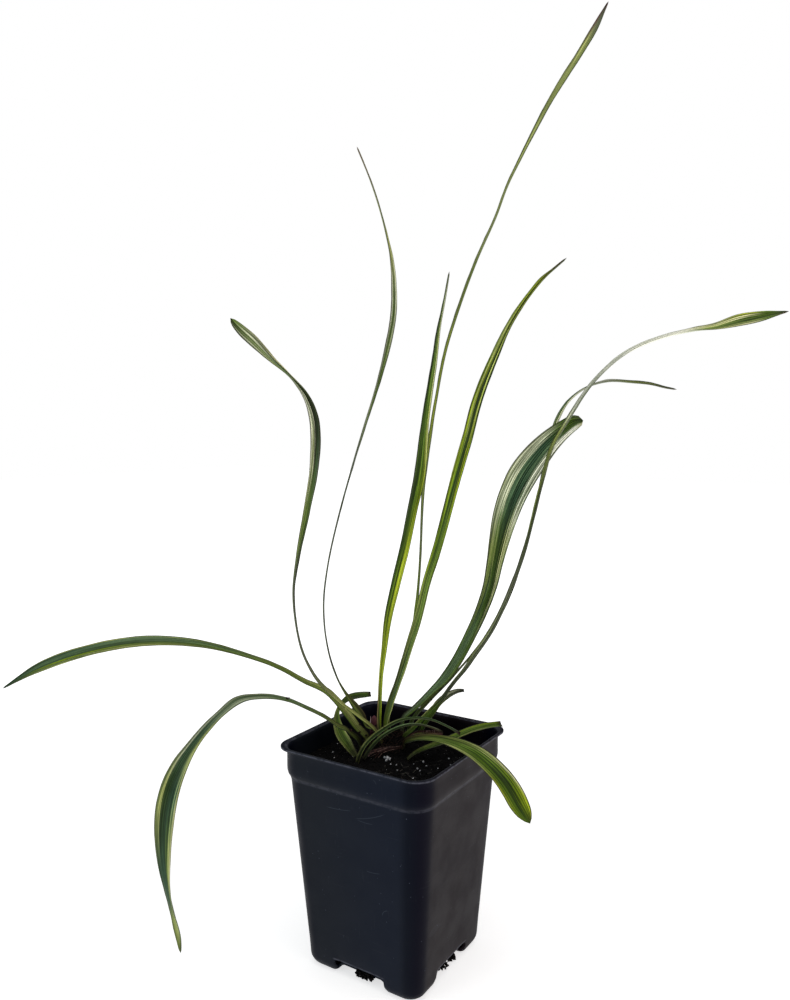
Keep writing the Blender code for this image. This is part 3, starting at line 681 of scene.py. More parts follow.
def make_plastic():
    """Painted light and shade, painted edge highlights, rub marks, dust and scratches on satin blue-black
    plastic.
    """
    material, tree, shader = new_finish("satin_black_plastic", specular=LEFT_GLOSS)
    place = add(tree, "ShaderNodeSeparateXYZ", {0: place_in_object(tree)})
    colour, left_face, nearer = wall_painted_light(tree, place)
    # The reflection is tinted by face as a painted reflection, and its strength differs by face too.
    painted_reflection = blend(tree, left_face, RIGHT_PAINTED_REFLECTION, LEFT_PAINTED_REFLECTION)
    gloss = between(tree, left_face, 0.0, 1.0, RIGHT_GLOSS, LEFT_GLOSS)
    # Painted highlights along the lip, the step and the tops of the drain slots.
    edge_highlight = painted_edge_highlights(tree, place.outputs[2], nearer)
    colour = blend(tree, edge_highlight, colour, shade(70, 72, 82))
    marks = rub_marks(tree, (900.0, 40.0, 90.0), 1.0, RUB_AMOUNT)
    marks_two = rub_marks(tree, (50.0, 50.0, 1100.0), 2.2, RUB_AMOUNT)
    worn = maths(tree, "MAXIMUM", marks, marks_two)
    colour = blend(tree, product(tree, worn, 0.18), colour, shade(40, 42, 50))
    large, small = dust_specks(tree, 150.0, 0.045, 0.45), dust_specks(tree, 420.0, 0.10, 0.36)
    dust = maths(tree, "MAXIMUM", large, small)
    colour = blend(tree, product(tree, dust, 0.8), colour, shade(84, 90, 104))
    for scratch in SCRATCHES:
        line = product(tree, scratch_mask(tree, *scratch), SCRATCH_STRENGTH)
        colour = blend(tree, line, colour, shade(64, 72, 82))
    patch = speckle(tree, place_in_object(tree), 60.0, 4.0)
    rough = between(tree, patch, 0.3, 0.7, 0.40, 0.52)
    rough = maths(tree, "ADD", rough, product(tree, dust, 0.25))
    feed(tree, shader, {
        "Base Color": colour, "Roughness": rough,
        "Specular Tint": painted_reflection, "Specular IOR Level": gloss})
    grain = speckle(tree, place_in_object(tree), 2600.0, 2.0)
    height = maths(tree, "ADD", grain, product(tree, worn, -0.8))
    raise_surface(tree, shader, height, 0.00004, 0.5)
    return material


pot = make_pot(make_plastic())
settle(pot, "pot", "pot")

# %% [markdown]
# ## The potting mix
# A peat mix is a crumbly dark mass with fibres, bark and white perlite. Its body is one
# closed loft that fills the pot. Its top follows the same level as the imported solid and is
# roughened by noise at three sizes, from clods of 5 mm to grains of half a millimetre.
# Rotted leaf bases make a dark heap between the stems, and the mix dips under the old root.

# %% Body of the mix
SOIL_LEVEL = 108.0
SOIL_GAP = 0.4
MOUND_HEIGHT = 3.0
MOUND_SPREAD = 14.0
MOUND_CENTRE = (-9.0, 8.0)
CRUMB_HEIGHT = 0.7
CRUMB_SIZE = 5.5
CLOD_HEIGHT = 0.75
CLOD_SIZE = 2.4
GRAIN_HEIGHT = 0.4
GRAIN_SIZE = 0.9
SOIL_RING_STEP = 0.62
MIX_CORNER = 10.8
MIX_FINENESS = 12
EDGE_SINK = 0.6
BASE_CLEAR = 0.6
CROWN = (-9.0, 13.0)
CROWN_RISE = 6.0
CROWN_SPREAD = 6.2
ROOT_DIP = 1.0
ROOT_DIP_SPREAD = 2.6
ROOT_BED = ((-14.0, -6.0), (-12.0, -3.2), (-9.5, -0.6), (-7.0, 1.4), (-4.8, 2.8))


def soil_height(x, y):
    """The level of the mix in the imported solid: nearly flat, mounded round the crown."""
    away = ((x - MOUND_CENTRE[0]) ** 2 + (y - MOUND_CENTRE[1]) ** 2) / (2 * MOUND_SPREAD**2)
    crumbs = noise.noise(Vector((x / CRUMB_SIZE, y / CRUMB_SIZE, 3.7)))
    return SOIL_LEVEL + MOUND_HEIGHT * math.exp(-away) + CRUMB_HEIGHT * crumbs


def rough_soil(x, y):
    """The same level with clods and grains on it."""
    clods = noise.noise(Vector((x / CLOD_SIZE, y / CLOD_SIZE, 8.1)))
    grains = noise.noise(Vector((x / GRAIN_SIZE, y / GRAIN_SIZE, 1.3)))
    heap = math.exp(-((x - CROWN[0]) ** 2 + (y - CROWN[1]) ** 2) / (2 * CROWN_SPREAD**2))
    beside = min((Vector((x, y, 0)) - Vector((*point[:2], 0))).length for point in ROOT_BED)
    dip = ROOT_DIP * math.exp(-(beside / ROOT_DIP_SPREAD) ** 2)
    rough = CLOD_HEIGHT * (abs(clods) * 1.6 - 0.5) + GRAIN_HEIGHT * grains
    return soil_height(x, y) + rough + CROWN_RISE * heap * (1.0 + 0.5 * clods) - dip


def make_mix_body(material):
    """One closed loft: the rough top from its middle out, the sides and the raised base."""
    inside = WALL + SOIL_GAP
    foot_shift = WALL + BASE_CLEAR
    fine = MIX_FINENESS
    top_half = BAND_HALF - inside
    rings = []
    steps = int(top_half / SOIL_RING_STEP)
    for step in range(1, steps):
        half = top_half * step / steps
        corner = max(PANEL_RING_CORNER, min(0.27 * half - 2.0 + 0.05 * max(0.0, half - 30.0), MIX_CORNER))
        ring = square_ring(half, corner, foot_shift, fine)
        rings.append([(x, y, rough_soil(x, y)) for x, y in ring])
    ring = square_ring(top_half, MIX_CORNER, foot_shift, fine)
    rings.append([(x, y, soil_height(x, y) - EDGE_SINK) for x, y in ring])
    for height, half, corner in (
        (106.0, BAND_HALF - 0.6, MIX_CORNER),
        (104.0, BAND_HALF - 1.4, MIX_CORNER),
        (SHOULDER_HEIGHT, BODY_TOP_HALF - 0.3, 10.6),
        (25.0, body_half(25.0), 8.0),
    ):
        ring = square_ring(half - inside, corner, foot_shift, fine)
        rings.append([(x, y, height) for x, y in ring])
    rise = WALL + BASE_CLEAR
    for lift, inset, corner in ((6.0, 0.3, 6.6), (2.4, 1.4, 6.0), (0.3, 3.6, 5.2), (0.0, 5.4, 4.0)):
        half = body_half(lift) - inside - inset
        ring = square_ring(half, corner, foot_shift, fine)
        rings.append([(x, y, base_height(x, y, foot_shift) + rise + lift) for x, y in ring])
    for half in (PANEL_RING_HALF, RAISED_RING_HALF):
        ring = square_ring(half + foot_shift, PANEL_RING_CORNER, foot_shift, fine)
        rings.append([(x, y, base_height(x, y, foot_shift) + rise) for x, y in ring])
    return solid_piece("mix_body", rings, material)


# %% Finish of the mix
def make_peat(name, dark, light, seed):
    """Matt crumbly stuff in two browns, with a few pale fibre ends."""
    material, tree, shader = new_finish(name, roughness=0.95, specular=0.12)
    spot = place_in_object(tree)
    coarse = speckle(tree, spot, 380.0 + seed, 5.0, 0.7)
    colour = blend(tree, between(tree, coarse, 0.38, 0.66), dark, light)
    flecks = speckle(tree, place_in_object(tree, (1500.0, 1900.0, 1500.0)), 1.0, 2.0)
    colour = blend(tree, between(tree, flecks, 0.71, 0.77), colour, shade(84, 80, 76))
    feed(tree, shader, {"Base Color": colour})
    raise_surface(tree, shader, coarse, 0.0004, 0.8)
    return material


peat = make_peat("peat", shade(1, 1, 2), shade(12, 10, 10), 0.0)
mix_body = make_mix_body(peat)
settle(mix_body, "potting_mix", "potting_mix")

# %% [markdown]
# ## Crumbs, bark, perlite and fibres on the mix
# Loose bits are scattered over the top of the mix by one node tree. It draws points on a
# patch of surface, puts a lump on each, turns and stretches every lump at random, and then
# dents the realised lumps with noise so that no two are alike. The same tree makes peat
# crumbs, bark flakes and perlite, with other sizes and another seed.

# %% Tree that scatters lumps
DENT_SCALE = 1400.0
LUMP_DETAIL = 1
PATCH_INSET = 1.2


def random_points(tree, patch, count, seed):
    """About so many points at random on a patch, whatever its area."""
    face_area = add(tree, "GeometryNodeInputMeshFaceArea").outputs[0]
    area = add(tree, "GeometryNodeAttributeStatistic", {"Geometry": patch, 2: face_area}, domain="FACE")
    density = maths(tree, "DIVIDE", count, area.outputs["Sum"])
    inputs = {"Mesh": patch, "Seed": seed, "Density": density}
    return add(tree, "GeometryNodeDistributePointsOnFaces", inputs).outputs["Points"]


def make_scatter_tree():
    """Points on a patch, a turned and stretched lump on each, all dented by a noise."""
    sizes = {
        "Lumps": "Int", "Seed": "Int", "Smallest": "Vector", "Largest": "Vector",
        "Dent": "Float", "Sink": "Float", "Flatness": "Float", "Detail": "Int",
        "Material": "Material",
    }
    tree, patch, size = new_shape_tree("scatter_lumps", sizes)
    points = random_points(tree, patch, size["Lumps"], size["Seed"])
    lump = add(tree, "GeometryNodeMeshIcoSphere", {"Radius": 1.0, "Subdivisions": size["Detail"]})
    spread = random_vector(tree, size["Smallest"], size["Largest"], Seed=size["Seed"])
    roll = random_vector(tree, (-math.pi,) * 3, (math.pi,) * 3)
    keep = add(tree, "ShaderNodeCombineXYZ", {0: size["Flatness"], 1: size["Flatness"], 2: 1.0}).outputs[0]
    roll = add(tree, "ShaderNodeVectorMath", {0: roll, 1: keep}, operation="MULTIPLY").outputs[0]
    turn = add(tree, "FunctionNodeEulerToRotation", {0: roll}).outputs[0]
    placed = add(tree, "GeometryNodeInstanceOnPoints", {
        "Points": points, "Instance": lump.outputs[0], "Rotation": turn, "Scale": spread})
    lumps = add(tree, "GeometryNodeRealizeInstances", {0: placed.outputs[0]}).outputs[0]
    drop = add(tree, "ShaderNodeCombineXYZ", {2: product(tree, size["Sink"], -1.0)}).outputs[0]
    shift = plus(tree, wobble(tree, DENT_SCALE, 1.0, size["Dent"]), drop)
    rough = add(tree, "GeometryNodeSetPosition", {"Geometry": lumps, "Offset": shift}).outputs[0]
    end_tree(tree, rough, size["Material"])
    return tree


scatter_tree = make_scatter_tree()


def patch_of_soil(x_range, y_range, step=1.2):
    """A patch of the mix's top surface to scatter on, kept inside the rounded square."""
    limit = BAND_HALF - WALL - PATCH_INSET - MIX_CORNER
    points, faces, index = [], [], {}
    columns = int((x_range[1] - x_range[0]) / step)
    rows = int((y_range[1] - y_range[0]) / step)

    def point_at(i, j):
        if (i, j) not in index:
            x, y = x_range[0] + i * step, y_range[0] + j * step
            index[i, j] = len(points)
            points.append((x, y, rough_soil(x, y)))
        return index[i, j]

    for i in range(columns):
        for j in range(rows):
            x = abs(x_range[0] + (i + 0.5) * step)
            y = abs(y_range[0] + (j + 0.5) * step)
            if math.hypot(max(0.0, x - limit), max(0.0, y - limit)) < MIX_CORNER:
                square = (i, j), (i + 1, j), (i + 1, j + 1), (i, j + 1)
                faces.append(tuple(point_at(*place) for place in square))
    return from_lists("patch", points, faces)


def scatter(name, patch, material, lumps, seed, smallest, largest, dent, sink=0.0, flatness=1.0):
    """Scatter lumps on a patch: sizes in millimetres along each axis of a lump."""
    return grow(name, patch, scatter_tree, **{
        "Lumps": lumps, "Seed": seed, "Dent": dent * MM, "Sink": sink * MM, "Flatness": flatness,
        "Smallest": [0.5 * value * MM for value in smallest],
        "Largest": [0.5 * value * MM for value in largest],
        "Detail": LUMP_DETAIL, "Material": material})


print("scatter tree nodes:", len(scatter_tree.nodes))

# %% [markdown]
# Fibres need another tree. It lays a short straight strand on each random point, turns and
# tilts it, bends every joint of it with a noise, and then gives it a round section. Pale
# fibres lie on the mix, and darker ones stick out of the heap between the leaf bases.

# %% Tree that lays fibres
FIBRE_JOINTS = 9
FIBRE_SIDES = 5
BEND_SCALE = 260.0


def make_fibre_tree():
    """Points on a patch, a turned and tilted strand on each, all bent and given a section."""
    sizes = {"Fibres": "Int", "Seed": "Int", "Shortest": "Float", "Longest": "Float", "Radius": "Float",
             "Lift": "Float", "Tilt": "Float", "Bend": "Float", "Material": "Material"}
    tree, patch, size = new_shape_tree("lay_fibres", sizes)
    points = random_points(tree, patch, size["Fibres"], size["Seed"])
    strand = add(tree, "GeometryNodeCurvePrimitiveLine", {"Start": (-0.5, 0.0, 0.0), "End": (0.5, 0.0, 0.0)})
    strand = add(tree, "GeometryNodeResampleCurve", {"Curve": strand.outputs[0], "Count": FIBRE_JOINTS})
    down = product(tree, size["Tilt"], -1.0)
    low = add(tree, "ShaderNodeCombineXYZ", {0: 0.0, 1: down, 2: -math.pi}).outputs[0]
    high = add(tree, "ShaderNodeCombineXYZ", {0: 0.0, 1: size["Tilt"], 2: math.pi}).outputs[0]
    roll = random_vector(tree, low, high, Seed=size["Seed"])
    turn = add(tree, "FunctionNodeEulerToRotation", {0: roll}).outputs[0]
    limits = {2: size["Shortest"], 3: size["Longest"]}
    length = add(tree, "FunctionNodeRandomValue", limits, data_type="FLOAT")
    placed = add(tree, "GeometryNodeInstanceOnPoints", {
        "Points": points, "Instance": strand.outputs[0], "Rotation": turn, "Scale": length.outputs[1]})
    strands = add(tree, "GeometryNodeRealizeInstances", {0: placed.outputs[0]}).outputs[0]
    rise = add(tree, "ShaderNodeCombineXYZ", {2: size["Lift"]}).outputs[0]
    shift = plus(tree, wobble(tree, BEND_SCALE, 2.0, size["Bend"]), rise)
    strands = add(tree, "GeometryNodeSetPosition", {"Geometry": strands, "Offset": shift}).outputs[0]
    round_section = {"Resolution": FIBRE_SIDES, "Radius": size["Radius"]}
    section = add(tree, "GeometryNodeCurvePrimitiveCircle", round_section)
    skin = add(tree, "GeometryNodeCurveToMesh", {
        "Curve": strands, "Profile Curve": section.outputs[0], "Fill Caps": True}).outputs[0]
    end_tree(tree, skin, size["Material"])
    return tree


fibre_tree = make_fibre_tree()


def lay_fibres(name, patch, material, fibres, seed, shortest, longest, radius, lift, tilt, bend):
    """Lay fibres on a patch: lengths, radius, lift and bend in millimetres, tilt in radians."""
    return grow(name, patch, fibre_tree, **{
        "Fibres": fibres, "Seed": seed, "Shortest": shortest * MM, "Longest": longest * MM,
        "Radius": radius * MM, "Lift": lift * MM, "Tilt": tilt, "Bend": bend * MM, "Material": material})


print("fibre tree nodes:", len(fibre_tree.nodes))

# %% [markdown]
# Grains that stand out by themselves are placed one by one, as lumps dented by noise.

# %% Single lumps
def make_lumps(name, places, material, seed, dent=0.5, detail=1):
    """Dented lumps at given places: x, y, z and size in millimetres."""
    chance = random.Random(seed)
    bm = bmesh.new()
    for x, y, z, size in places:
        stretch = Matrix.Diagonal([0.5 * size * chance.uniform(0.7, 1.2) for _ in range(3)]).to_4x4()
        turn = Matrix.Rotation(chance.uniform(0.0, math.pi), 4, "Z")
        turn = turn @ Matrix.Rotation(chance.uniform(0.0, math.pi), 4, "X")
        middle = Vector((x, y, z))
        place = Matrix.Translation(middle) @ turn @ stretch
        made = bmesh.ops.create_icosphere(bm, subdivisions=detail, radius=1.0, matrix=place)
        for vert in made["verts"]:
            vert.co += (vert.co - middle) * dent * noise.noise(vert.co * 2.3 / size)
    bmesh.ops.scale(bm, vec=(MM, MM, MM), verts=bm.verts)
    mesh = bpy.data.meshes.new(name)
    bm.to_mesh(mesh)
    bm.free()
    mesh.materials.append(material)
    mesh.shade_smooth()
    return new_object(name, mesh)


def heap_of(count, low, high, smallest, largest, seed):
    """Places for lumps at random in a box."""
    chance = random.Random(seed)
    return [(*(chance.uniform(a, b) for a, b in zip(low, high)), chance.uniform(smallest, largest))
            for _ in range(count)]


# %% Loose bits on the mix
SOIL_SPAN = (-43.0, 43.0)
CROWN_SPAN = ((-24.0, 2.0), (0.0, 24.0))


def plain_grain(name, dark, light, roughness, scale=900.0, depth=0.00015, stretch=(1.0, 1.0, 1.0)):
    """A grainy finish in two tones, for small loose bits."""
    material, tree, shader = new_finish(name, roughness=roughness, specular=0.2)
    grain = speckle(tree, place_in_object(tree, stretch), scale, 3.0)
    colour = blend(tree, between(tree, grain, 0.3, 0.7), dark, light)
    feed(tree, shader, {"Base Color": colour})
    raise_surface(tree, shader, grain, depth, 0.7)
    return material


crumb_finish = make_peat("loose_peat", shade(2, 2, 3), shade(20, 17, 16), 120.0)
bark_finish = plain_grain("bark_bits", shade(10, 8, 7), shade(44, 36, 31), 0.9)
perlite_finish = plain_grain("perlite", shade(128, 130, 134), shade(214, 216, 218), 0.75)
straw_finish = plain_grain("pale_fibre", shade(44, 42, 40), shade(96, 92, 86), 0.85)
hair_finish = plain_grain("dark_fibre", shade(14, 10, 9), shade(62, 44, 36), 0.9)

top_patch = patch_of_soil(SOIL_SPAN, SOIL_SPAN)
crown_patch = patch_of_soil(*CROWN_SPAN)
right_patch = patch_of_soil((8.0, 38.0), (-22.0, 30.0))

# What makes the bits, their name, patch, finish, number and seed. Then lumps have their
# smallest and largest size along each axis, dent, sink and flatness, and fibres their
# shortest and longest length, radius, lift, tilt and bend.
LOOSE_BITS = (
    (scatter, "peat_crumbs", top_patch, crumb_finish, 1700, 3,
     (0.5, 0.5, 0.4), (2.0, 1.7, 1.3), 0.5),
    (scatter, "bark_flakes", top_patch, bark_finish, 150, 8,
     (0.9, 0.5, 0.25), (3.4, 1.3, 0.6), 0.3, 0.0, 0.25),
    (scatter, "perlite_grit", top_patch, perlite_finish, 70, 21,
     (0.15, 0.15, 0.1), (0.5, 0.4, 0.3), 0.2, -0.2),
    (lay_fibres, "pale_fibres", top_patch, straw_finish, 60, 5, 1.2, 3.6, 0.07, 0.5, 0.2, 3.0),
    (lay_fibres, "broad_fibres", right_patch, straw_finish, 26, 6, 2.2, 4.6, 0.13, 0.6, 0.15, 4.0),
    (scatter, "crown_crumbs", crown_patch, crumb_finish, 420, 12,
     (0.5, 0.5, 0.5), (1.9, 1.6, 1.6), 0.6),
    (lay_fibres, "crown_hairs", crown_patch, hair_finish, 150, 9, 3.0, 9.0, 0.11, 1.2, 0.7, 6.0),
)
for make, name, patch, *sizes in LOOSE_BITS:
    settle(make(name, patch.copy(), *sizes), "potting_mix")

# %% Perlite grains and clumps in the drain slots
PERLITE_SPOTS = (
    (-1.4, -7.6, 1.5), (-0.2, -7.0, 1.8), (0.9, -6.2, 1.3), (-0.1, -8.2, 1.2), (1.4, -7.2, 0.9),
    (16.7, 1.7, 1.3), (20.7, -1.6, 0.8), (19.0, -7.9, 0.9), (21.4, -9.2, 0.8), (-2.4, 14.1, 0.8),
    (7.6, -10.3, 0.8), (4.2, -10.5, 0.8), (-32.2, -12.1, 0.9), (-37.3, -1.3, 0.8), (27.2, -0.9, 0.6),
    (25.8, 13.0, 0.7), (22.9, -18.4, 0.8), (11.5, -15.5, 0.6), (30.5, 6.5, 0.6), (-25.5, -20.0, 0.7),
    (14.0, -3.5, 0.7), (-36.0, 20.0, 0.9), (-20.0, 32.0, 1.3), (8.0, 34.0, 1.0), (30.0, 28.0, 1.2),
)
PERLITE_STANDS_OUT = 0.42
PERLITE_LIFT = 0.3
spots = []
for x, y, size in PERLITE_SPOTS:
    spots.append((x, y, rough_soil(x, y) + PERLITE_STANDS_OUT * size + PERLITE_LIFT, size))
settle(make_lumps("perlite_grains", spots, perlite_finish, 4, detail=3), "potting_mix")

# Opposite corners of the box that each clump fills, and one larger crumb beside them.
LEFT_CLUMP = ((-3.0, -33.0, 2.6), (7.0, -29.6, 5.6))
RIGHT_CLUMP = ((29.6, -5.0, 2.0), (33.2, 6.6, 5.4))
LARGE_CRUMB = (31.5, 8.0, 2.2, 3.4)
clumps = heap_of(150, *LEFT_CLUMP, 0.7, 1.8, 31)
clumps += heap_of(90, *RIGHT_CLUMP, 0.7, 1.7, 32)
clumps.append(LARGE_CRUMB)
drain_crumbs = make_lumps("drain_crumbs", clumps, crumb_finish, 33, 0.8)
settle(drain_crumbs, "potting_mix")

# %% [markdown]
# ## Where the blades run
# Each blade lies in, or near, an upright plane of its own. A row gives its foot on the
# mix, the compass heading of that plane, how deep a channel its section is, and stations
# along its midrib: reach, height, width, and turn about the midrib, with a fifth value
# where it strays to the left of the plane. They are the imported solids' own points, so the
# finer blades lie exactly where those solids are.

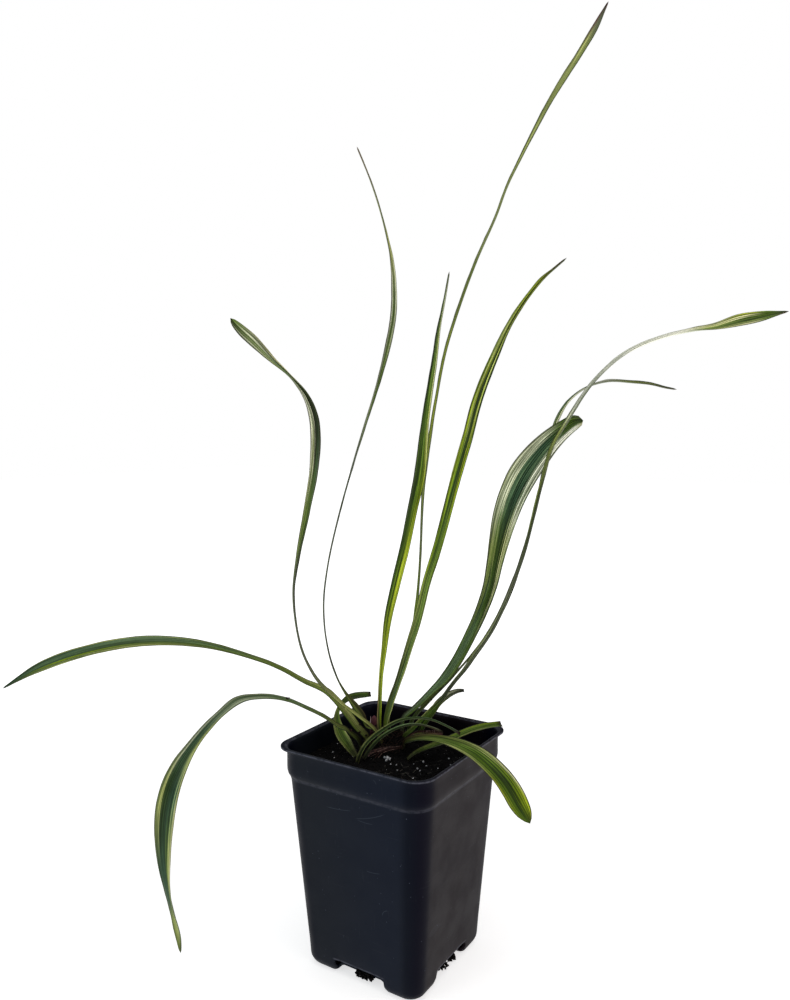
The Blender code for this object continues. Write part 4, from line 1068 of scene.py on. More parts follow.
# %% Stations of the blades
BLADES = (
    ("leaf_far_left", (-17.4, 3.1), 216.5, 0.10, (
        (0, None, 3.9, 50), (4, 117, 3.9, 52), (7.5, 120.5, 4.3, 54), (11, 125.5, 4.7, 54),
        (15, 131, 4.8, 50), (19, 136, 4.7, 44), (23.5, 140.7, 4.8, 36), (36, 147.1, 4.2, 24),
        (49, 154.7, 5, 14), (70, 163, 6.5, 8), (90, 168.5, 7.5, 16), (119, 171, 8.3, 28),
        (148.5, 167, 7.2, 44), (177, 157.5, 5.4, 57), (195.5, 147, 1, 40),
    )),
    ("leaf_left_weeping", (-18.4, -4.6), 260.5, 0.13, (
        (0, None, 5, 50), (2.5, 116, 5, 48), (8, 121, 3.9, 44), (11.5, 124.5, 4, 40),
        (17.5, 128, 4.2, 36), (22.5, 132, 4.3, 34), (28.5, 136.5, 4.4, 32), (38, 142.5, 4.3, 29),
        (52.5, 150.8, 5.3, 20), (69, 156.2, 7.2, 8), (81.2, 157.4, 7.8, 3), (91, 153.8, 7.6, -6),
        (99.3, 149, 7.6, -4), (106.6, 143.3, 7.8, 2), (113.3, 136.3, 8.7, 18),
        (118.2, 128.4, 9.3, 30), (121, 120.2, 9.5, 34), (122.4, 111.7, 8.8, 36),
        (123, 103, 7.5, 36), (122.8, 94.5, 6.6, 23), (122.1, 86, 5.9, 6), (121, 78.2, 5.8, -8),
        (119.6, 71.6, 5.5, -9), (117.2, 60.7, 4.8, 4), (116.3, 53.7, 2.9, 6), (116, 50, 1, 8),
    )),
    ("leaf_left_curled", (-9.5, 3.8), 232.5, 0.12, (
        (0, None, 3.8, 30), (4, 119, 3.8, 28), (8, 124, 3.7, 26), (12.5, 128, 3.5, 26),
        (16.5, 131.5, 3.2, 28), (23, 137, 2.8, 34), (28, 142, 3.4, 38), (36.5, 151.5, 3.2, 34),
        (44, 166, 3.5, 25), (48, 184, 3.4, 23), (49, 201, 4, 30), (46.5, 219, 4.8, 42),
        (41.5, 243, 5.8, 54), (37.5, 265, 6.6, 61), (36.7, 280, 7.1, 62), (37.2, 287.9, 7, 60),
        (39, 294.8, 6.5, 55), (42, 301.3, 5.8, 46), (45.7, 306.2, 5.5, 34), (49.1, 310.2, 5.2, 26),
        (53.1, 313.8, 5.6, 32), (58, 317.9, 6, 42), (62.6, 322.3, 6.4, 56), (68.2, 327.8, 6.5, 70),
        (73.6, 332.6, 5.5, 76), (76.9, 336, 3.6, 78), (78.6, 338.2, 1.4, 78),
    )),
    ("leaf_tall_left", (-17.7, 14.8), 204.5, 0.14, (
        (0, None, 4.8, 10), (3.5, 115.5, 4.8, 10), (9, 117, 3.5, 14), (11.5, 122.5, 5, 22),
        (15.5, 127.5, 5.5, 24), (19.5, 133, 3.7, 16), (23.5, 139.5, 2.2, 6), (28, 150, 2.2, 0),
        (32, 167.5, 2, -4), (33, 187, 2.9, -7), (30, 210, 2.9, -8), (24.5, 233.5, 3.1, -7),
        (16.5, 261.5, 3.3, -4), (9, 286, 3.8, 6), (1, 311, 4, 24), (-3.5, 328, 4.4, 38),
        (-6.5, 343.5, 4.4, 41), (-7, 359, 4.4, 36), (-6, 372.5, 4, 22), (-3, 388.5, 3.3, 3),
        (5, 415, 2.1, -5), (12.5, 433, 0.9, 30),
    )),
    ("leaf_centre", (-15.9, 10.0), 27.5, 0.14, (
        (0, None, 3.6, -50), (-0.5, 120, 3.6, -52), (0, 137, 3.1, -54), (1, 152.5, 3.1, -60),
        (2, 160, 3.4, -66), (4.5, 180, 4.5, -76), (9, 200, 5.4, -76), (14, 220, 6, -67),
        (18, 239.5, 6.5, -62), (22, 258.5, 7.3, -61), (25, 286, 6.3, -48), (27.5, 303, 6.8, -37),
        (30, 319, 6, -35), (32, 335, 4.8, -30), (35, 351, 3.4, -21), (37.5, 366, 1, -35),
    )),
    ("leaf_tallest", (-12.4, 16.4), 47.5, 0.14, (
        (0, None, 3.6, -20), (-2, 122, 3.4, -14), (-1.5, 126.5, 3.4, -14), (0, 132.5, 3.4, -14),
        (2.5, 139.5, 3.4, -14), (6.5, 150, 3.4, -14), (9.5, 161, 3.4, -14), (12.3, 172, 3.4, -14),
        (14.6, 188, 3.4, -12), (16.6, 213.5, 3.4, -2), (17.4, 233.5, 3.6, -4), (18.6, 253, 4, -13),
        (22, 278, 4.2, -12), (25.5, 299, 4.2, -5), (31.5, 328, 4.5, -4), (37.5, 346.5, 4.4, -6),
        (49, 376.5, 4.7, -3), (60, 400.5, 4.6, 4), (66, 416, 4.6, 4), (74.5, 432.5, 4.8, -6),
        (82.5, 447.5, 5, -16), (90.5, 462, 4.8, -25), (99.5, 476.5, 4.6, -40),
        (108, 489.5, 3.9, -56), (117.5, 505, 3.9, -56), (125.5, 520, 1, -30),
    )),
    ("leaf_centre_right", (-10.4, 8.8), 10.5, 0.14, (
        (0, None, 3.8, -55), (-1, 120.5, 3.8, -60), (1.5, 132, 4.9, -66), (6, 145, 4.4, -70),
        (10.2, 157.5, 4.8, -74), (12, 163.5, 4.8, -77), (17.9, 182, 5.3, -76), (23, 202, 5.4, -74),
        (29.1, 221, 5.9, -72), (34.5, 240.5, 6.3, -72), (39.5, 259, 6.4, -74), (46, 281, 6.6, -74),
        (50, 296, 6.7, -71), (60.5, 322, 5.8, -62), (65.5, 332.5, 5.4, -52), (72, 343, 5.2, -45),
        (78.5, 351.5, 4.4, -44), (83.5, 357, 4.3, -42), (88.5, 361, 2.9, -34), (95, 366, 1, -45),
    )),
    ("leaf_broad_right", (-5.8, 16.5), 36.5, 0.12, (
        (0, None, 3.8, -30), (0, 118, 4.6, -30), (1, 124, 3.8, -32), (5.5, 128, 3.8, -34),
        (10.5, 132.5, 4.2, -36), (16.5, 138.5, 4.5, -38), (23.4, 145.2, 6.2, -42),
        (30.3, 155, 6.9, -45), (37, 167.6, 7.1, -48), (43.9, 182.7, 7.8, -50),
        (48.9, 197.3, 8.8, -52), (51.5, 210.4, 10, -55), (53.9, 222.7, 12, -58),
        (56.7, 234.6, 14.1, -62), (61, 247.3, 15.4, -67), (67, 259.2, 16.2, -70),
        (73.8, 268.6, 15, -70), (82.1, 277.6, 12.4, -67), (90.3, 284.2, 10, -62),
        (95.4, 287.2, 8.4, -58), (98.2, 287.8, 5.4, -57), (99.4, 288, 2, -56),
    )),
    ("leaf_long_right", (-2.2, 12.8), 28.5, 0.14, (
        (0, None, 2.7, -50), (0, 115, 2.7, -50), (4.2, 119, 2.7, -50), (8.3, 123.5, 2.8, -48),
        (12.4, 128, 2.9, -44), (17.2, 133, 3, -40), (21.6, 138, 3, -36), (24.6, 142.5, 2.9, -34),
        (29.2, 148.5, 3, -34), (32.8, 153, 3.2, -36), (40, 164, 3.8, -40), (45.5, 172, 3.8, -37),
        (52.5, 185.5, 4, -33), (58, 199, 4, -28), (63, 213, 4.4, -22), (73, 253, 4.6, -19),
        (79, 275, 5, -21), (87, 289, 5, -20), (100, 308.5, 5, -16), (118, 324, 6, -14),
        (130.5, 329.5, 6.5, -12), (149, 334, 7, -17), (161.5, 335.5, 7.5, -33),
        (173, 338.5, 8.3, -51), (183.5, 340.5, 6.2, -59), (197, 343, 1, -40),
    )),
    ("leaf_hooked_right", (-4.5, 22.0), 41.5, 0.14, (
        (0, None, 3.2, -30), (0.5, 118, 3.2, -30), (5.5, 126, 3, -30), (8.5, 129, 2.9, -30),
        (14.5, 135, 2.6, -28), (21, 141, 1.8, -28), (27.5, 148, 1.6, -28), (36, 157.5, 1.6, -30),
        (42, 164.5, 2.2, -33), (52.5, 181, 3.7, -26), (66, 216.5, 4, -12), (74.5, 249.5, 4.6, -7),
        (80.5, 277, 4.8, -14), (83.5, 287, 5, -14), (91.5, 300, 4.8, -2), (100.5, 306.5, 3.6, 0),
        (112.5, 310, 5, -12), (128, 309.5, 4.8, -21), (139, 308.5, 4.4, -26), (148, 306.5, 3, -27),
        (154.5, 305.5, 1, -40),
    )),
    ("leaf_over_rim", (0.6, 6.7), 345.5, 0.16, (
        (0, None, 4.2, -48), (2, 115, 4.5, -48), (7.5, 118, 4.8, -40), (13.5, 120.5, 5, -30),
        (21, 122.5, 5.6, -22), (28.5, 123.8, 6.4, -19), (37, 124.6, 7.4, -18),
        (46, 124.4, 8.6, -18), (53.5, 123.4, 9.6, -18), (61, 121, 10.4, -17),
        (67.3, 118, 10.6, -16), (72, 115, 10.8, -17), (76.5, 111, 10.8, -19),
        (80.5, 106.5, 10, -23), (84.5, 102.5, 7.2, -21), (87.5, 99.5, 2, -10),
    )),
    ("leaf_to_corner", (9.1, -1.3), 48.0, 0.12, (
        (0, None, 3.9, 5), (2, 111, 3.9, 0), (7, 113.5, 4.3, -6), (12, 115, 4.5, -10),
        (18, 116.5, 4.6, -14), (26, 119, 4.8, -18), (33.5, 121.5, 4.7, -22), (40.5, 123, 4.3, -26),
        (47, 123.5, 4, -26), (53, 123.5, 4.4, -22),
    )),
    ("leaf_front_arch", (-12.4, -16.8), 37.5, 0.18, (
        (0, None, 3.2, -30), (1, 112, 3.2, -30), (3.5, 117, 3, -30), (7.5, 121.5, 3, -28),
        (13.5, 126, 2.9, -26), (22.5, 130.5, 2.5, -22), (28, 131.5, 2, -20), (33, 131.5, 1.9, -18),
        (38.5, 130.5, 1.9, -18), (44.5, 128, 1.9, -20), (50, 125, 2, -24), (54.5, 122, 2.6, -28),
    )),
    ("leaf_front_arch_inner", (-11.9, -11.6), 38.5, 0.18, (
        (0, None, 2.7, -32), (4, 115, 2.7, -28), (11, 121.5, 2.6, -25), (19.5, 125.5, 2.5, -18),
        (28, 126.5, 2, -18), (36, 124.5, 1.9, -16), (42, 121.5, 2.4, -28),
    )),
    ("leaf_left_hook", (-17.7, -11.3), 122.5, 0.12, (
        (0, None, 3.2, 0, 0), (1.6, 111.5, 4, 0, 2), (3.2, 114.5, 5.4, 0, 4.4), (6, 118, 6, 0, 7.7),
        (9.5, 122, 5.2, -4, 10), (13.5, 125, 3.6, -8, 11), (18, 127.5, 2.4, -14, 10.9),
        (22.5, 129.7, 2.6, -24, 9.3), (26.5, 131.1, 3.3, -32, 7), (29.5, 131.8, 4, -36, 4.4),
        (31.5, 132, 4.3, -38, 0.8), (33, 132, 4.2, -38, -3.2), (34, 132, 3.4, -38, -7.1),
    )),
    ("leaf_cut_short", (1.0, 20.8), 42.5, 0.14, (
        (0, None, 3.6, -45), (2.6, 117, 3.7, -45), (5.3, 122, 4, -45), (9.1, 127, 4.1, -45),
        (12.8, 132, 4.1, -44), (16.6, 135, 3.9, -44), (20.3, 137, 3.3, -44), (24, 138, 2.6, -44),
        (27, 138, 1.8, -42),
    )),
    ("young_shoot", (-25.4, 17.6), 212.5, 0.34, (
        (0, None, 3.4, 0), (0.3, 114, 3.8, 0), (0.8, 120, 3.2, 0), (1.2, 124, 1.2, 0),
    )),
    ("torn_sheath", (-3.0, 9.8), 358.0, 0.30, (
        (0, None, 2.4, -50), (2.7, 114, 2.4, -54), (6, 117, 2.4, -58), (9.5, 119.5, 2.5, -60),
        (15.5, 121.5, 2.4, -62), (21, 122.5, 2.2, -62), (27.5, 123.5, 1.6, -55),
    )),
)
print("blades and sheaths:", len(BLADES))

# %% [markdown]
# ## From stations to a spine
# A smooth curve is passed through the stations, and along it go many small frames: a
# point, the way across the blade, and the way up from its face. They are stored on a bare
# line of vertices, the spine, so that a node tree can read them later. The last stretch
# narrows to a rounded tip, or stays blunt where the real blade has been cut.

# %% Spines
ROOT_DEPTH = 7.0
ROOT_UPRIGHT = 1.6
BASE_FOLD = 0.28
FOLD_FADE = 30.0
FOLD_CURVE = 1.4
FOLD_CENTRE = 0.45
RING_STEP = 1.7
TIP_ROUND = 2.2
END_TAPER = 1.2
CUT_BLADES = ("leaf_to_corner", "leaf_front_arch", "leaf_front_arch_inner", "leaf_left_hook",
              "leaf_cut_short", "torn_sheath")


def smooth_rows(rows, count):
    """Pass a smooth curve through rows of numbers, spaced evenly along the first three."""
    rows = np.array(rows, float)
    steps = np.linalg.norm(np.diff(rows[:, :3], axis=0), axis=1)
    at = np.concatenate([[0.0], np.cumsum(steps)])
    slope = np.gradient(rows, at, axis=0)
    wanted = np.linspace(0.0, at[-1], count)
    left = np.clip(np.searchsorted(at, wanted, side="right") - 1, 0, len(at) - 2)
    gap = (at[left + 1] - at[left])[:, None]
    t = (wanted[:, None] - at[left][:, None]) / gap
    start = (2 * t**3 - 3 * t**2 + 1) * rows[left] + (t**3 - 2 * t**2 + t) * gap * slope[left]
    end = (3 * t**2 - 2 * t**3) * rows[left + 1] + (t**3 - t**2) * gap * slope[left + 1]
    return start + end, wanted


def blade_frames(foot, heading, stations):
    """Midrib points of a blade with its width, run and local axes."""
    ahead = Vector((math.cos(math.radians(heading)), math.sin(math.radians(heading)), 0.0))
    left = Vector((-ahead.y, ahead.x, 0.0))
    ground = soil_height(*foot)
    rows = []
    for station in stations:
        reach, height, width, turn = station[:4]
        stray = station[4] if len(station) > 4 else 0.0
        rows.append((reach, stray, ground if height is None else height, width, turn))
    length = smooth_rows(rows, 2)[1][-1]
    rings = max(24, round(length / RING_STEP))
    rows, run = smooth_rows(rows, rings)
    points = [Vector((*foot, 0.0)) + ahead * r[0] + left * r[1] + Vector((0, 0, r[2])) for r in rows]
    frames = []
    for i, point in enumerate(points):
        along = (points[min(i + 1, rings - 1)] - points[max(i - 1, 0)]).normalized()
        across = (left - along * left.dot(along)).normalized()
        across = Matrix.Rotation(math.radians(-rows[i][4]), 3, along) @ across
        frames.append((point, along, across, rows[i][3], run[i]))
    point, along, across, width, _ = frames[0]
    down = (along + Vector((0.0, 0.0, ROOT_UPRIGHT))).normalized()
    across = (across - down * across.dot(down)).normalized()
    frames.insert(0, (point - down * ROOT_DEPTH, down, across, width, -ROOT_DEPTH))
    return frames


def store(mesh, label, values):
    """Keep one number or vector a vertex on a mesh."""
    values = np.array(values, np.float32)
    kind, field = ("FLOAT_VECTOR", "vector") if values.ndim == 2 else ("FLOAT", "value")
    layer = mesh.attributes.new(label, kind, "POINT")
    layer.data.foreach_set(field, values.ravel())


def make_spine(name, foot, heading, fold, stations):
    """A line of vertices that carries a blade's frames, in metres."""
    frames = blade_frames(foot, heading, stations)
    length = frames[-1][4]
    points = []
    kept = {label: [] for label in ("across", "up", "width", "channel", "body", "run")}
    for point, along, side, wide, at in frames:
        left_over = (length - at) / TIP_ROUND
        round_off = math.sqrt(max(0.0, 1.0 - max(0.0, 1.0 - left_over) ** 2))
        if name in CUT_BLADES:
            round_off = 1.0
        channel = fold + (BASE_FOLD - fold) * math.exp(-max(at, 0.0) / FOLD_FADE)
        body = min(1.0, (length - at) / END_TAPER, (at + ROOT_DEPTH) / END_TAPER)
        values = (side, along.cross(side), wide * round_off * MM, channel, max(body, 0.0), at * MM)
        points.append(point)
        for label, value in zip(kept, values):
            kept[label].append(value)
    edges = [(i, i + 1) for i in range(len(points) - 1)]
    mesh = from_lists(name + "_spine", points, [], edges)
    for label, values in kept.items():
        store(mesh, label, values)
    return mesh, length


spines = {}
for row in BLADES:
    spines[row[0]] = make_spine(*row)
print("longest blade:", round(max(length for _, length in spines.values())), "mm")

# %% [markdown]
# ## A skin for every blade
# Grass-like blades share one section: a shallow channel with a keel under the midrib and
# parallel ribs on both faces, thinning to nothing at the edges. The tree lays one grid
# round the spine so that half of its columns make the upper face and half the underside,
# and welds the seam. It stores where each point is, across and along, so that the finish
# can follow the blade.

# %% Tree that skins a spine
RIB_SHARPNESS = 0.42
KEEL_WIDTH = 0.13
RIPPLE_LENGTH = 9.0
RIPPLE_DRIFT = 0.004
SEAM_GAP = 0.002


def sample(tree, spine, value, ring, kind):
    """Read a value from one vertex of the spine."""
    inputs = {"Geometry": spine, "Value": value, "Index": ring}
    return add(tree, "GeometryNodeSampleIndex", inputs, data_type=kind, domain="POINT").outputs[0]


def named(tree, label, kind="FLOAT"):
    """Read a value that was stored on the shape."""
    return add(tree, "GeometryNodeInputNamedAttribute", {"Name": label}, data_type=kind).outputs[0]


def keep_on(tree, shape, label, value, kind="FLOAT", domain="POINT"):
    """Store a value on the shape under a name."""
    inputs = {"Geometry": shape, "Name": label, "Value": value}
    return add(tree, "GeometryNodeStoreNamedAttribute", inputs, data_type=kind, domain=domain).outputs[0]


def make_blade_tree():
    """Skin a spine: a grid for both faces, bent, ribbed, keeled and welded at the edge."""
    sizes = {"Columns": "Int", "Ribs": "Float", "Rib Height": "Float", "Thickness": "Float",
             "Keel": "Float", "Ripple": "Float", "Material": "Material"}
    tree, spine, size = new_shape_tree("blade_skin", sizes)
    rings = add(tree, "GeometryNodeAttributeDomainSize", {0: spine}).outputs["Point Count"]
    grid = add(tree, "GeometryNodeMeshGrid", {
        "Size X": 2.0, "Size Y": 1.0, "Vertices X": size["Columns"], "Vertices Y": rings})
    place = add(tree, "ShaderNodeSeparateXYZ", {0: add(tree, "GeometryNodeInputPosition").outputs[0]})
    around = place.outputs[0]
    share = maths(tree, "ADD", place.outputs[1], 0.5)
    side = maths(tree, "SUBTRACT", 1.0, product(tree, maths(tree, "ABSOLUTE", around), 2.0))
    under = maths(tree, "GREATER_THAN", around, 0.00001)
    last = maths(tree, "SUBTRACT", rings, 1.0)
    number = product(tree, share, last)
    shape = keep_on(tree, grid.outputs["Mesh"], "UVMap", grid.outputs["UV Map"], "FLOAT2", "CORNER")
    for label, value in (("side", side), ("under", under), ("ring", number)):
        shape = keep_on(tree, shape, label, value)
    ring = maths(tree, "ROUND", named(tree, "ring"))
    middle = sample(tree, spine, add(tree, "GeometryNodeInputPosition").outputs[0], ring, "FLOAT_VECTOR")
    across, up = (sample(tree, spine, named(tree, label, "FLOAT_VECTOR"), ring, "FLOAT_VECTOR")
                  for label in ("across", "up"))
    width, channel, body, run = (sample(tree, spine, named(tree, label), ring, "FLOAT")
                                 for label in ("width", "channel", "body", "run"))
    shape = keep_on(tree, shape, "run", run)
    shape = keep_on(tree, shape, "wide", width)
    side, under, run, width = (named(tree, label) for label in ("side", "under", "run", "wide"))
    off = maths(tree, "ABSOLUTE", side)
    bend = maths(tree, "SUBTRACT", maths(tree, "POWER", off, FOLD_CURVE), FOLD_CENTRE)
    lift = product(tree, product(tree, channel, width), bend)
    wander = add(tree, "ShaderNodeCombineXYZ", {0: run, 1: product(tree, side, RIPPLE_DRIFT)}).outputs[0]
    waves = {"Vector": wander, "Scale": 1.0 / (RIPPLE_LENGTH * MM), "Detail": 1.0}
    ripple = add(tree, "ShaderNodeTexNoise", waves)
    ripple = maths(tree, "SUBTRACT", ripple.outputs["Fac"], 0.5)
    edge_share = maths(tree, "POWER", off, 3.0)
    lift = maths(tree, "MULTIPLY_ADD", product(tree, ripple, edge_share), size["Ripple"], lift)
    thin = maths(tree, "POWER", maths(tree, "SUBTRACT", 1.0001, product(tree, off, off)), RIB_SHARPNESS)
    wave = maths(tree, "COSINE", product(tree, side, product(tree, size["Ribs"], math.pi)))
    half = maths(tree, "MULTIPLY_ADD", wave, size["Rib Height"], product(tree, size["Thickness"], 0.5))
    bell = maths(tree, "POWER", maths(tree, "DIVIDE", off, KEEL_WIDTH), 2.0)
    bell = maths(tree, "EXPONENT", product(tree, bell, -1.0))
    keel = product(tree, product(tree, bell, size["Keel"]), between(tree, under, 0.0, 1.0, -0.4, 1.0))
    half = product(tree, maths(tree, "ADD", half, keel), product(tree, thin, body))
    way = maths(tree, "SUBTRACT", 1.0, product(tree, under, 2.0))
    height = maths(tree, "MULTIPLY_ADD", half, way, lift)
    half_width = product(tree, product(tree, width, 0.5), side)
    target = plus(tree, middle, plus(tree, scaled(tree, across, half_width), scaled(tree, up, height)))
    shape = add(tree, "GeometryNodeSetPosition", {"Geometry": shape, "Position": target}).outputs[0]
    seam = {"Geometry": shape, "Distance": SEAM_GAP * MM}
    shape = add(tree, "GeometryNodeMergeByDistance", seam).outputs[0]
    shape = add(tree, "GeometryNodeFlipFaces", {0: shape}).outputs[0]
    end_tree(tree, shape, size["Material"])
    return tree


blade_tree = make_blade_tree()
print("blade tree nodes:", len(blade_tree.nodes))

# %% [markdown]
# ## Colours of a variegated blade
# The stripes of a variegated lilyturf run the whole length of the blade but change on the
# way: green at the foot, cream or yellow margins higher up, dark green again at the tip.
# So each blade gets its number of ribs and a few sections along its length. A line gives a
# section's share of the length, the tone of the right edge, the tones between with their
# places from -1 to 1, and the tone of the left edge. The tones are listed colours.

# %% Leaf colours
TONE = {
    "cream": (208, 208, 158),
    "silver": (182, 190, 158),
    "pale": (172, 180, 108),
    "yellow": (156, 168, 42),
    "lime": (124, 146, 26),
    "leaf": (92, 116, 44),
    "green": (70, 96, 20),
    "deep": (44, 62, 20),
    "blue": (46, 72, 50),
    "sage": (88, 112, 76),
    "olive": (110, 122, 60),
    "grey": (106, 112, 86),
    "dull": (64, 72, 48),
    "ink": (24, 28, 18),
    "bark": (60, 40, 30),
    "plum": (88, 50, 52),
    "white": (224, 226, 208),
    "straw": (138, 116, 82),
}


def read_looks(text):
    """Ribs and sections of every look; a line that ends in a comma goes on in the next."""
    looks = {}
    for line in text.replace(",\n", ",").strip().splitlines():
        if ":" not in line:
            name, ribs = line.split()
            looks[name] = int(ribs), []
            continue
        share, tones = line.split(":")
        first, *inner, last = tones.split(",")
        stops = [(-1.0, first.strip())]
        for stop in inner:
            where, tone = stop.split()
            stops.append((float(where), tone))
        stops.append((1.0, last.strip()))
        looks[name][1].append((float(share), stops))
    return looks


